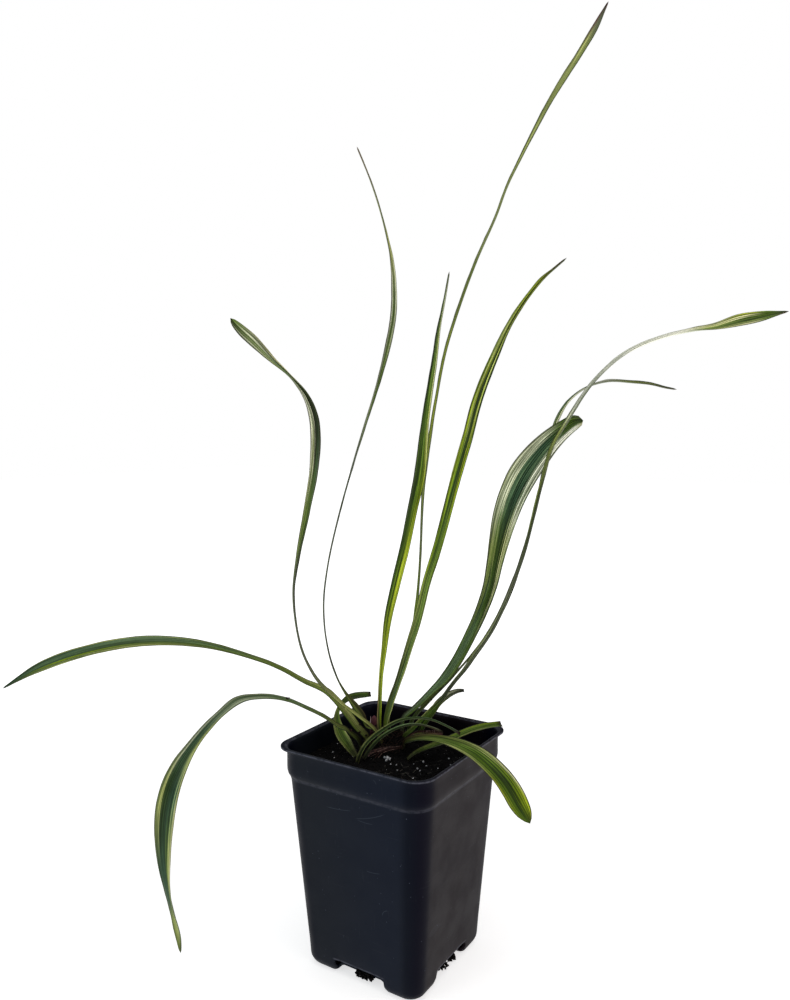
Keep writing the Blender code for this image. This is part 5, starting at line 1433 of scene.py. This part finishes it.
# Each look is a blade's name and number of ribs, and then its sections from foot to tip.
LOOKS = read_looks("""
leaf_far_left 8
0: bark, -0.3 olive, 0.4 olive, deep
0.1: olive, -0.3 pale, 0.2 olive, 0.7 leaf, deep
0.3: grey, -0.6 olive, 0.3 leaf, 0.8 olive, dull
0.48: olive, -0.5 sage, 0.1 leaf, 0.7 olive, grey
0.6: pale, -0.8 sage, -0.1 sage, 0.15 leaf, 0.5 olive, 0.8 pale, 0.93 olive, grey
0.85: pale, -0.88 blue, -0.2 sage, 0.1 blue, 0.25 lime, 0.45 leaf, 0.6 blue, 0.72 pale,
      0.85 green, pale
1: deep, 0 blue, dull
leaf_left_weeping 9
0: ink, 0 deep, deep
0.12: ink, -0.3 olive, 0.5 leaf, ink
0.28: grey, -0.4 sage, 0.3 leaf, dull
0.42: grey, -0.5 sage, 0.4 silver, 0.7 sage, dull
0.54: grey, -0.7 silver, -0.3 blue, 0.2 sage, 0.6 pale, olive
0.66: sage, -0.75 pale, -0.5 deep, 0.2 blue, 0.55 blue, 0.72 sage, 0.82 pale, 0.93 cream, olive
0.82: grey, -0.8 blue, 0.2 blue, 0.45 leaf, 0.75 pale, cream
0.88: grey, -0.6 blue, 0.1 deep, 0.6 leaf, olive
0.94: olive, -0.4 olive, 0.2 pale, 0.7 olive, leaf
1: olive, 0.2 deep, dull
leaf_left_curled 7
0: bark, 0 olive, deep
0.12: olive, -0.2 pale, 0.5 olive, leaf
0.24: dull, 0 grey, dull
0.42: ink, -0.2 dull, 0.4 leaf, dull
0.55: dull, -0.7 deep, 0.2 leaf, 0.8 olive, ink
0.68: dull, -0.6 blue, -0.15 deep, -0.02 ink, 0.2 silver, 0.45 olive, 0.65 silver, 0.9 grey, ink
0.8: dull, -0.5 deep, -0.15 ink, 0.1 silver, 0.4 sage, 0.8 white, dull
0.86: cream, -0.6 deep, 0 sage, 0.45 pale, 0.8 leaf, deep
0.94: cream, -0.8 dull, -0.3 silver, 0.1 leaf, 0.5 silver, deep
1: leaf, 0.2 deep, dull
leaf_tall_left 5
0: plum, -0.4 bark, 0.2 olive, leaf
0.09: bark, -0.3 olive, 0.5 leaf, leaf
0.16: ink, 0 dull, ink
0.45: ink, 0 dull, 0.6 ink, ink
0.62: dull, -0.4 leaf, 0.1 deep, 0.5 silver, ink
0.76: dull, -0.6 silver, -0.35 deep, 0.1 leaf, 0.3 deep, 0.55 white, 0.8 grey, ink
0.86: dull, 0 pale, ink
1: dull, 0 grey, plum
leaf_centre 6
0: plum, 0 olive, plum
0.06: yellow, -0.4 lime, 0.1 leaf, 0.3 olive, straw
0.16: lime, -0.5 yellow, 0.2 lime, 0.7 yellow, olive
0.32: lime, -0.6 yellow, 0 lime, 0.5 green, 0.85 deep, dull
0.55: deep, -0.8 yellow, -0.35 lime, 0.05 green, 0.7 deep, dull
0.7: pale, -0.85 cream, -0.5 yellow, -0.1 leaf, 0.3 green, 0.9 deep, dull
0.82: cream, -0.8 white, -0.5 yellow, -0.3 cream, -0.05 leaf, 0.6 deep, dull
0.93: white, -0.5 cream, 0 leaf, 0.6 dull, deep
1: grey, 0 dull, deep
leaf_tallest 5
0: olive, 0 lime, olive
0.15: deep, -0.2 lime, lime
0.28: dull, 0.2 olive, dull
0.45: dull, -0.6 olive, 0 yellow, 0.5 olive, dull
0.6: grey, -0.5 lime, 0.2 olive, 0.8 grey, dull
0.8: dull, -0.6 olive, 0 pale, 0.6 olive, dull
0.93: dull, -0.3 olive, 0.3 pale, dull
0.975: dull, 0 grey, plum
1: plum, ink
leaf_centre_right 6
0: pale, -0.4 olive, 0.3 lime, olive
0.12: pale, -0.5 leaf, 0 sage, 0.5 olive, dull
0.28: pale, -0.6 leaf, 0 leaf, 0.5 olive, deep
0.42: dull, -0.7 lime, -0.3 leaf, 0.3 green, 0.8 lime, deep
0.58: deep, -0.8 lime, -0.55 yellow, -0.3 deep, 0.05 deep, 0.4 green, 0.75 lime, 0.92 yellow, deep
0.76: deep, -0.8 green, -0.55 pale, -0.32 lime, -0.14 ink, 0.14 deep, 0.34 yellow,
      0.6 cream, 0.74 lime, ink
0.92: dull, -0.75 deep, -0.5 yellow, -0.25 deep, 0.05 ink, 0.25 deep, 0.5 yellow, 0.75 green, ink
1: dull, 0 ink, plum
leaf_broad_right 14
0: deep, 0 grey, ink
0.07: deep, -0.4 leaf, 0.1 sage, 0.7 grey, ink
0.18: dull, -0.7 leaf, -0.3 sage, 0.1 sage, 0.8 sage, deep
0.32: dull, -0.6 leaf, 0 sage, 0.5 sage, 0.9 leaf, deep
0.44: dull, -0.8 leaf, -0.62 cream, -0.48 deep, 0 green, 0.5 sage, 0.75 olive, dull
0.57: grey, -0.85 leaf, -0.68 cream, -0.5 pale, -0.35 deep, 0 deep, 0.3 green, 0.5 pale,
      0.7 green, 0.88 pale, dull
0.74: sage, -0.86 silver, -0.62 white, -0.5 sage, -0.35 blue, 0.1 blue, 0.3 sage,
      0.42 silver, 0.7 silver, 0.88 olive, silver
0.88: grey, -0.8 white, -0.55 silver, -0.4 sage, -0.1 blue, 0.35 blue, 0.5 silver, 0.8 grey, silver
0.96: white, -0.55 white, -0.35 deep, 0.4 green, 0.8 deep, leaf
1: cream, -0.3 deep, dull
leaf_long_right 5
0: deep, 0 green, leaf
0.07: deep, 0 green, 0.5 olive, pale
0.12: ink, -0.4 dull, 0.1 ink, 0.5 grey, ink
0.2: dull, -0.4 grey, 0 dull, 0.4 grey, 0.8 olive, ink
0.34: ink, -0.5 grey, -0.1 ink, 0.4 grey, ink
0.48: ink, -0.5 grey, 0 dull, 0.4 olive, dull
0.58: dull, 0 pale, 0.5 olive, dull
0.64: dull, -0.6 white, 0.2 white, 0.5 dull, 0.7 white, grey
0.83: white, -0.2 white, 0.1 grey, 0.3 white, white
0.88: dull, -0.7 pale, 0 leaf, 0.4 pale, cream
0.935: dull, -0.75 cream, -0.45 pale, -0.2 leaf, 0.3 leaf, 0.5 cream, 0.8 yellow, olive
0.97: leaf, 0 leaf, green
1: plum, 0 dull, dull
leaf_hooked_right 5
0: dull, 0 leaf, sage
0.1: dull, -0.2 grey, 0.4 olive, dull
0.22: dull, -0.5 olive, 0 dull, 0.4 grey, ink
0.38: ink, -0.5 grey, -0.1 ink, 0.4 grey, ink
0.5: ink, -0.5 grey, -0.1 dull, 0.3 olive, ink
0.66: dull, -0.3 white, 0.3 pale, 0.7 deep, dull
0.76: white, -0.2 cream, 0.4 sage, ink
0.84: dull, 0 grey, white
0.9: dull, 0 olive, dull
1: plum, 0 dull, ink
leaf_over_rim 10
0: ink, 0 deep, bark
0.12: ink, -0.4 deep, 0.2 olive, bark
0.28: ink, -0.7 leaf, 0 olive, 0.5 leaf, bark
0.45: dull, -0.85 pale, -0.4 leaf, 0.3 leaf, 0.8 olive, dull
0.62: dull, -0.88 pale, -0.72 leaf, -0.2 green, 0.3 green, 0.6 leaf, 0.85 pale, dull
0.78: dull, -0.86 yellow, -0.65 green, 0.1 deep, 0.4 green, 0.6 lime, 0.74 green, 0.88 cream, dull
0.92: pale, -0.8 lime, -0.4 green, 0.1 deep, 0.5 lime, 0.85 yellow, dull
1: leaf, 0 green, bark
leaf_to_corner 7
0: ink, 0 deep, olive
0.3: grey, -0.5 deep, 0.4 leaf, olive
0.6: deep, -0.8 pale, -0.3 green, 0.5 leaf, 0.9 lime, dull
0.93: grey, -0.7 leaf, 0.3 green, 0.9 lime, dull
1: dull, 0 ink, bark
leaf_front_arch 5
0: pale, -0.6 deep, 0.3 deep, pale
0.3: sage, -0.6 deep, 0.3 deep, 0.8 pale, olive
0.6: grey, -0.5 deep, 0.4 deep, sage
0.92: grey, -0.4 deep, 0.5 blue, grey
1: ink, 0 bark, ink
leaf_front_arch_inner 5
0: grey, -0.6 deep, 0.3 deep, olive
0.5: grey, -0.6 deep, 0.3 deep, sage
0.9: plum, -0.4 deep, grey
1: plum, 0 bark, ink
leaf_left_hook 6
0: dull, -0.7 pale, 0 leaf, 0.7 leaf, pale
0.25: pale, -0.8 leaf, 0.2 leaf, 0.8 olive, pale
0.45: olive, -0.4 leaf, 0.6 olive, pale
0.7: grey, 0 leaf, olive
0.82: dull, 0 deep, 0.6 green, sage
0.95: deep, 0.4 green, grey
1: ink, 0 bark, ink
leaf_cut_short 6
0: ink, 0 deep, ink
0.3: dull, -0.3 green, 0.5 deep, deep
0.58: olive, -0.3 green, 0.5 green, deep
0.66: olive, -0.3 grey, 0.3 olive, ink
0.8: ink, -0.5 grey, -0.1 ink, 0.3 silver, 0.7 dull, ink
1: ink, ink
torn_sheath 5
0: ink, 0 bark, ink
0.4: bark, -0.2 olive, 0.3 bark, 0.6 plum, ink
0.8: bark, -0.4 straw, 0.2 bark, plum
1: plum, ink
""")

print("looks for", len(LOOKS), "pieces")

# %% [markdown]
# ## The finish of a blade
# A colour ramp paints each section across the blade, and neighbouring sections are mixed
# along it. Before the ramps are read, the place across the blade is nudged by a noise that
# is long and thin, so every stripe frays into fine streaks as real variegation does. Finer
# noise draws the veins, the rims are darkened, and the underside is duller and paler.

# %% Blade finish
STREAKS_PER_RIB = 0.7
STREAK_RUN = 75.0
VEINS_PER_RIB = 0.9
FINE_VEINS_PER_RIB = 2.6
VEIN_RUN = 60.0
EDGE_START = 0.90
EDGE_FULL = 0.98
EDGE_DARKNESS = 0.72
MIDRIB_HALF = 0.09
MIDRIB_DARKNESS = 0.25
NUDGE_RANGE = (0.38, 0.62)
DARK_LINE_RANGE = (0.47, 0.42)
LIGHT_LINE_RANGE = (0.54, 0.60)
FINE_LINE_RANGE = (0.5, 0.38)
# How far up each blade's foot the soil stain and painted shade reach.
STAIN_AND_SHADE_REACH = 16.0
STAIN_AND_SHADE_ENDS = 20.0
STAIN_AND_SHADE_FULL = 8.0
DARK_LINE = (0.36, 0.4, 0.3, 1.0)
LIGHT_LINE = (2.3, 2.2, 2.3, 1.0)
FINE_LINE = (0.66, 0.7, 0.6, 1.0)
CALM_BLADES = {
    "leaf_over_rim": 0.95, "leaf_far_left": 0.5, "leaf_left_weeping": 0.7, "leaf_tallest": 0.55,
    "leaf_to_corner": 0.6, "leaf_front_arch": 0.7, "leaf_left_hook": 0.6,
}


def long_noise(tree, side, run, across_count, along_length, seed, detail=2.0):
    """Noise in long thin streaks: many across the blade, few along it."""
    spot = add(tree, "ShaderNodeCombineXYZ", {
        0: product(tree, side, across_count),
        1: product(tree, run, 1.0 / (along_length * MM)),
        2: seed})
    return speckle(tree, spot.outputs[0], 1.0, detail, 0.6)


def own(tree, label):
    """An attribute that the blade tree stored on the piece."""
    return add(tree, "ShaderNodeAttribute", attribute_name=label).outputs["Fac"]


def section_colours(tree, place_across, run, length, sections):
    """One ramp a section, mixed along the blade."""
    colour = None
    for number, (share, stops) in enumerate(sections):
        ramp_node = add(tree, "ShaderNodeValToRGB", {"Fac": place_across})
        bands = ramp_node.color_ramp
        while len(bands.elements) < len(stops):
            bands.elements.new(0.5)
        for element, (where, _) in zip(bands.elements, stops):
            element.position = 0.5 * (where + 1.0)
        for element, (_, tone) in zip(bands.elements, stops):
            element.color = shade(*TONE[tone])
        if colour is None:
            colour = ramp_node.outputs[0]
            continue
        start = sections[number - 1][0] * length * MM
        factor = between(tree, run, start, share * length * MM)
        colour = blend(tree, factor, colour, ramp_node.outputs[0])
    return colour


def make_blade_finish(name, ribs, sections, length, seed, lines_show, fray=0.16):
    """Stripes from the sections, then lines, veins, dark rims, midrib, underside, and a soil stain with
    painted shade at the foot.
    """
    material, tree, shader = new_finish(name + "_blade", specular=0.12)
    side, run, under = own(tree, "side"), own(tree, "run"), own(tree, "under")
    streaks = long_noise(tree, side, run, ribs * STREAKS_PER_RIB, STREAK_RUN, seed, 3.0)
    nudge = between(tree, streaks, *NUDGE_RANGE, -fray, fray)
    across = maths(tree, "MULTIPLY_ADD", maths(tree, "ADD", side, nudge), 0.5, 0.5)
    colour = section_colours(tree, across, run, length, sections)
    lines = long_noise(tree, side, run, ribs * VEINS_PER_RIB, VEIN_RUN, seed + 5.0)
    dark_line = between(tree, lines, *DARK_LINE_RANGE, 0.0, lines_show)
    light_line = between(tree, lines, *LIGHT_LINE_RANGE, 0.0, lines_show)
    colour = blend(tree, dark_line, colour, DARK_LINE, "MULTIPLY")
    colour = blend(tree, light_line, colour, LIGHT_LINE, "MULTIPLY")
    veins = long_noise(tree, side, run, ribs * FINE_VEINS_PER_RIB, VEIN_RUN, seed + 9.0)
    colour = blend(tree, between(tree, veins, *FINE_LINE_RANGE), colour, FINE_LINE, "MULTIPLY")
    off = maths(tree, "ABSOLUTE", side)
    edge = between(tree, off, EDGE_START, EDGE_FULL)
    colour = blend(tree, product(tree, edge, EDGE_DARKNESS), colour, shade(46, 48, 32))
    midrib = between(tree, off, MIDRIB_HALF, 0.0)
    colour = blend(tree, product(tree, midrib, MIDRIB_DARKNESS), colour, shade(50, 66, 36))
    dulled = blend(tree, 0.45, colour, shade(112, 122, 92))
    colour = blend(tree, between(tree, under, 0.4, 0.6), colour, dulled)
    cloud = speckle(tree, place_in_object(tree), 160.0, 3.0)
    patches = speckle(tree, place_in_object(tree), 420.0, 3.0)
    # Darker at the foot of each blade: partly a soil stain, partly painted shade where the bases sit deep in
    # the crown.
    stain_and_shade_run = maths(tree, "MULTIPLY_ADD", patches, STAIN_AND_SHADE_REACH * MM, run)
    soil_stain_and_shade = between(tree, stain_and_shade_run, STAIN_AND_SHADE_ENDS * MM, STAIN_AND_SHADE_FULL * MM, 0.0, 0.8)
    colour = blend(tree, soil_stain_and_shade, colour, shade(30, 22, 18))
    colour = blend(tree, 0.25, colour, between(tree, cloud, 0.2, 0.8, 0.35, 0.7), "OVERLAY")
    rough = maths(tree, "MULTIPLY_ADD", veins, 0.22, 0.34)
    feed(tree, shader, {"Base Color": colour, "Roughness": rough})
    cells = speckle(tree, place_in_object(tree), 3800.0, 1.0)
    height = maths(tree, "MULTIPLY_ADD", cells, 0.25, veins)
    raise_surface(tree, shader, height, 0.00006, 0.6)
    return material


print("blade finish ready")

# %% [markdown]
# ## Growing the blades
# Each blade is grown from its own spine by the same tree. Broad blades get more columns
# and more ribs. Real blades are about 0.4 mm thick with a slightly thicker midrib.

# %% Blades
NARROW_COLUMNS = 49
BROAD_COLUMNS = 97
BROAD_RIBS = 8
RIB_HEIGHT = 0.045
THICKNESS = 0.46
KEEL_HEIGHT = 0.16
EDGE_RIPPLE = 0.5
SLOT_OF = {
    "torn_sheath": "dry_sheath",
    "leaf_tall_left": "leaf_dark", "leaf_front_arch": "leaf_dark", "leaf_left_hook": "leaf_dark",
    "leaf_front_arch_inner": "leaf_dark", "leaf_cut_short": "leaf_dark",
    "leaf_tallest": "leaf_olive", "leaf_centre_right": "leaf_olive", "leaf_hooked_right": "leaf_olive",
}


def grow_blade(name, seed):
    """Grow one blade from its spine with its own finish."""
    ribs, sections = LOOKS[name]
    spine, length = spines[name]
    lines_show = CALM_BLADES.get(name, 1.0)
    finish = make_blade_finish(name, ribs, sections, length, float(seed), lines_show)
    blade = grow(name + "_blade", spine, blade_tree, **{
        "Columns": BROAD_COLUMNS if ribs >= BROAD_RIBS else NARROW_COLUMNS, "Ribs": float(ribs),
        "Rib Height": RIB_HEIGHT * MM, "Thickness": THICKNESS * MM, "Keel": KEEL_HEIGHT * MM,
        "Ripple": EDGE_RIPPLE * MM, "Material": finish})
    return settle(blade, SLOT_OF.get(name, "leaf_green"), name)


for number, (name, *_) in enumerate(BLADES):
    if name != "young_shoot":
        grow_blade(name, 3 * number)

# %% [markdown]
# ## The surface root
# A thick old root lies in a shallow groove in front of the crown, with thinner ones beside
# it. A tube follows the points of each, and its ring radii vary so that it is knobbly.

# %% Surface root
ROOT_RADIUS = 1.1
ROOT_SIDES = 18
SURFACE_ROOT = (
    (-15.5, -8.2, 105.4),
    (-13.6, -5.4, 108.4),
    (-11.0, -1.8, 109.9),
    (-7.5, 1.0, 110.6),
    (-4.8, 2.8, 109.6),
    (-3.2, 4.0, 106.8),
)

SIDE_ROOTS = (
    (((-4.6, 3.2, 109.3), (-4.9, 6.6, 110.4), (-5.2, 10.2, 111.2), (-5.6, 13.0, 110.6)), 0.55),
    (((-7.0, 0.6, 110.2), (-8.6, -2.6, 109.9), (-9.2, -5.2, 108.9), (-9.0, -8.2, 107.6)), 0.5),
    (((-9.4, 0.4, 110.6), (-12.4, -1.0, 110.2), (-15.4, -3.8, 108.8), (-17.2, -6.4, 107.4)), 0.42),
    (((-4.9, 2.6, 109.4), (-2.2, 2.0, 109.6), (1.2, 3.0, 109.0), (3.8, 3.2, 107.4)), 0.38),
)


def tube(name, route, radius, sides, material, knobs=0.0, knob_size=1.0, taper=0.0):
    """A closed tube along points in millimetres, with knobs and an optional taper."""
    route = [Vector(point) for point in route]
    rings = []
    helper = Vector((0.31, 0.17, 0.93))
    for i, point in enumerate(route):
        along = (route[min(i + 1, len(route) - 1)] - route[max(i - 1, 0)]).normalized()
        first = along.cross(helper).normalized()
        second = along.cross(first)
        share = i / (len(route) - 1)
        size = radius * (1.0 - taper * share)
        ring = []
        for step in range(sides):
            angle = 2.0 * math.pi * step / sides
            way = first * math.cos(angle) + second * math.sin(angle)
            knob = noise.noise((point + way * radius) / knob_size)
            ring.append(tuple(point + way * size * (1.0 + knobs * knob)))
        rings.append(ring)
    piece = solid_piece(name, rings, material)
    bm = bmesh.new()
    bm.from_mesh(piece.data)
    bmesh.ops.recalc_face_normals(bm, faces=bm.faces)
    bm.to_mesh(piece.data)
    bm.free()
    return piece


root_finish = plain_grain("root_skin", shade(14, 6, 6), shade(76, 50, 46), 0.85, 1.0, 0.0003,
                         stretch=(420.0, 700.0, 1500.0))
root_path, _ = smooth_rows([(*point, 0.0) for point in SURFACE_ROOT], 40)
surface_root = tube("old_root", root_path[:, :3], ROOT_RADIUS, ROOT_SIDES, root_finish, 0.35, 0.9)
settle(surface_root, "root", "surface_root")
for number, (route, radius) in enumerate(SIDE_ROOTS):
    path, _ = smooth_rows([(*point, 0.0) for point in route], 30)
    settle(tube(f"side_root_{number}", path[:, :3], radius, 10, root_finish, 0.3, 0.7, 0.55), "root")

# %% [markdown]
# Finer roots and a few pale strands lie over it, so they are given as places on the mix and
# a lift above it. Short hairs stand on the frayed edge of the torn sheath.

# %% Fine roots and sheath hairs
FINE_ROOTS = (
    (((1.0, 7.0, 0.6), (-2.0, 3.4, 0.9), (-5.4, 0.2, 0.9), (-7.6, -3.4, 0.6), (-8.6, -7.4, 0.3)),
     0.45, False),
    (((0.2, 5.6, 0.5), (-3.0, 1.6, 0.8), (-5.6, -2.2, 0.7), (-6.4, -5.6, 0.5), (-6.8, -9.0, 0.2)),
     0.4, False),
    (((-1.0, 4.4, 0.4), (-4.0, -0.4, 0.6), (-5.2, -4.4, 0.5), (-5.0, -8.4, 0.2)), 0.26, True),
    (((-6.4, 1.4, 1.2), (-9.4, -2.2, 0.9), (-11.2, -6.2, 0.4), (-11.6, -8.6, 0.1)), 0.3, True),
    (((0.6, 6.4, 1.1), (-3.8, 3.0, 1.7), (-8.0, 0.6, 1.8), (-11.0, -2.6, 1.4)), 0.24, True),
    (((-3.0, 2.8, 1.0), (-6.6, -1.0, 1.2), (-8.4, -4.8, 0.7), (-9.8, -8.6, 0.2)), 0.2, True),
)
SHEATH_EDGE = (
    (4.0, 9.5, 117.6), (9.0, 9.3, 120.2), (14.0, 9.1, 121.9), (19.0, 9.0, 122.8), (24.0, 8.9, 123.3),
)
SHEATH_HAIRS = 14
strand_finish = plain_grain("pale_strand", shade(66, 40, 36), shade(138, 116, 108), 0.85, 1.0, 0.0002,
                            stretch=(500.0, 800.0, 1500.0))
for number, (route, radius, pale) in enumerate(FINE_ROOTS):
    points = [(x, y, rough_soil(x, y) + lift, 0.0) for x, y, lift in route]
    path, _ = smooth_rows(points, 26)
    finish = strand_finish if pale else root_finish
    settle(tube(f"fine_root_{number}", path[:, :3], radius, 8, finish, 0.3, 0.6, 0.5), "root")
chance = random.Random(12)
sheath_path, _ = smooth_rows([(*point, 0.0) for point in SHEATH_EDGE], 30)
for number in range(SHEATH_HAIRS):
    start = Vector(sheath_path[chance.randrange(2, 29), :3])
    lean = chance.uniform(-1.6, 1.6)
    rise = chance.uniform(0.4, 1.5)
    route = [start, start + Vector((0.4 * lean, -0.3, rise)), start + Vector((lean, -0.9, 0.6 * rise))]
    path, _ = smooth_rows([(*point, 0.0) for point in route], 12)
    settle(tube(f"sheath_hair_{number}", path[:, :3], 0.13, 6, strand_finish, 0.0, 1.0, 0.6), "root")

# %% [markdown]
# ## The bud
# The new shoot is a plump bud: a pointed core wrapped in two scales, purple below and
# nearly white at the tips. A scale is a thin crescent, bent round the core and drawn to
# a point, so its section is an arc out and a smaller arc back.

# %% Bud
BUD_FOOT = (-25.4, 17.6, 104.0)
BUD_CORE = (
    (0.0, 1.4), (4.0, 1.7), (8.0, 2.05), (11.0, 2.2), (13.5, 2.1),
    (15.2, 1.75), (16.4, 1.2), (17.1, 0.6), (17.4, 0.2),
)
CORE_SIDES = 24
SCALE_GAP = 0.06
SCALE_THICK = 0.3
SCALE_RINGS = 16
SCALE_STEPS = 12
SCALE_FREE_ABOVE = 15.6

# Name, heading it faces, how far it wraps to each side, top, and how far out it lies.
BUD_SCALES = (
    ("bud_scale_left", 212.0, 58.0, 17.0, 0.0),
    ("bud_scale_back", 60.0, 80.0, 15.0, 0.0),
    ("bud_scale_low", 300.0, 85.0, 9.5, 0.25),
)


def bud_radius(rise):
    """The core's radius at a height above its foot."""
    return float(np.interp(rise, [r for r, _ in BUD_CORE], [s for _, s in BUD_CORE]))


def bud_point(radius, angle, rise):
    """A point beside the bud's axis, from its distance, heading and height above the foot."""
    x, y, z = BUD_FOOT
    return (x + radius * math.cos(angle), y + radius * math.sin(angle), z + rise)


def make_bud_core(material):
    """The plump pointed middle of the bud, turned round its axis."""
    rings = []
    for rise, radius in BUD_CORE:
        angles = [2.0 * math.pi * step / CORE_SIDES for step in range(CORE_SIDES)]
        rings.append([bud_point(radius, angle, rise) for angle in angles])
    return solid_piece("bud_core", rings[::-1], material)


def make_bud_scale(name, facing, half_wrap, top, layer, material):
    """A scale round the core: where it faces, how far it wraps, its top and its layer."""
    rings = []
    for row in range(SCALE_RINGS + 1):
        rise = 1.0 + (top - 1.0) * row / SCALE_RINGS
        share = row / SCALE_RINGS
        wrap = math.radians(half_wrap) * math.sqrt(max(0.004, 1.0 - share**2.6))
        lean = 0.4 * share**3
        inner = bud_radius(min(rise, SCALE_FREE_ABOVE)) + SCALE_GAP + layer
        outer = inner + SCALE_THICK * (1.0 - 0.75 * share)
        steps = SCALE_STEPS
        arc = [(outer, -wrap + 2.0 * wrap * step / steps) for step in range(steps + 1)]
        arc += [(inner, wrap - 2.0 * wrap * step / steps) for step in range(steps + 1)]
        facing_way = math.radians(facing)
        rings.append([bud_point(radius + lean, facing_way + angle, rise) for radius, angle in arc])
    return solid_piece(name, rings[::-1], material)


def make_bud_finish(name, low, high, start, end):
    """Purple at the foot and pale at the tip, with fine lines running up."""
    material, tree, shader = new_finish(name, roughness=0.5, specular=0.35)
    place = add(tree, "ShaderNodeSeparateXYZ", {0: place_in_object(tree)})
    lines = speckle(tree, place_in_object(tree, (2600.0, 2600.0, 90.0)), 1.0, 2.0)
    height = maths(tree, "MULTIPLY_ADD", lines, 3.0 * MM, place.outputs[2])
    colour = blend(tree, between(tree, height, start * MM, end * MM), low, high)
    colour = blend(tree, between(tree, lines, 0.45, 0.65, 0.0, 0.35), colour, shade(70, 22, 40))
    feed(tree, shader, {"Base Color": colour})
    raise_surface(tree, shader, lines, 0.0001, 0.6)
    return material


core_finish = make_bud_finish("bud_core_skin", shade(46, 14, 22), shade(96, 48, 54), 113.0, 122.0)
# The scales are pale at the tips in their own colour, and are whitened further there as a painted highlight.
scale_finish = make_bud_finish("bud_scale_skin", shade(64, 26, 34), shade(220, 196, 190), 114.0, 119.5)
settle(make_bud_core(core_finish), "young_shoot", "young_shoot")
for scale in BUD_SCALES:
    settle(make_bud_scale(*scale, scale_finish), "young_shoot")

# %% [markdown]
# ## Crumbs on the blades
# A plant that has just been watered carries bits of mix. They are lumps placed on the
# upper faces of the lower blades and in the folds where blades leave the crown.

# %% Crumbs on the blades
CLINGING = (
    (-28.1, -54.7, 150.9, 1.3), (-27.6, -53.6, 150.9, 0.8), (-20.5, -11.6, 122.7, 1.5),
    (-20.7, -12.2, 123.4, 0.9), (-21.3, -13.2, 123.0, 1.2), (-21.9, -2.0, 118.4, 1.2),
    (-21.7, -1.4, 118.4, 0.8), (-22.8, 0.0, 122.1, 0.9), (9.0, 33.8, 138.5, 1.1),
    (8.2, 33.2, 137.6, 0.8), (5.6, 29.1, 132.8, 1.0), (-22.2, 14.7, 117.2, 1.1),
    (-19.9, 1.6, 116.0, 1.2), (7.4, 9.5, 120.6, 0.8), (-1.6, -8.0, 127.0, 0.7),
    (-13.3, 15.6, 116.9, 1.0), (16.0, 4.7, 123.1, 0.5), (-17.4, 5.0, 114.6, 1.5),
    (-15.0, 8.2, 115.4, 1.4), (-12.8, 11.2, 115.8, 1.3),
)
clinging = make_lumps("clinging_crumbs", CLINGING, hair_finish, 17, 0.7, detail=2)
settle(clinging, "potting_mix")
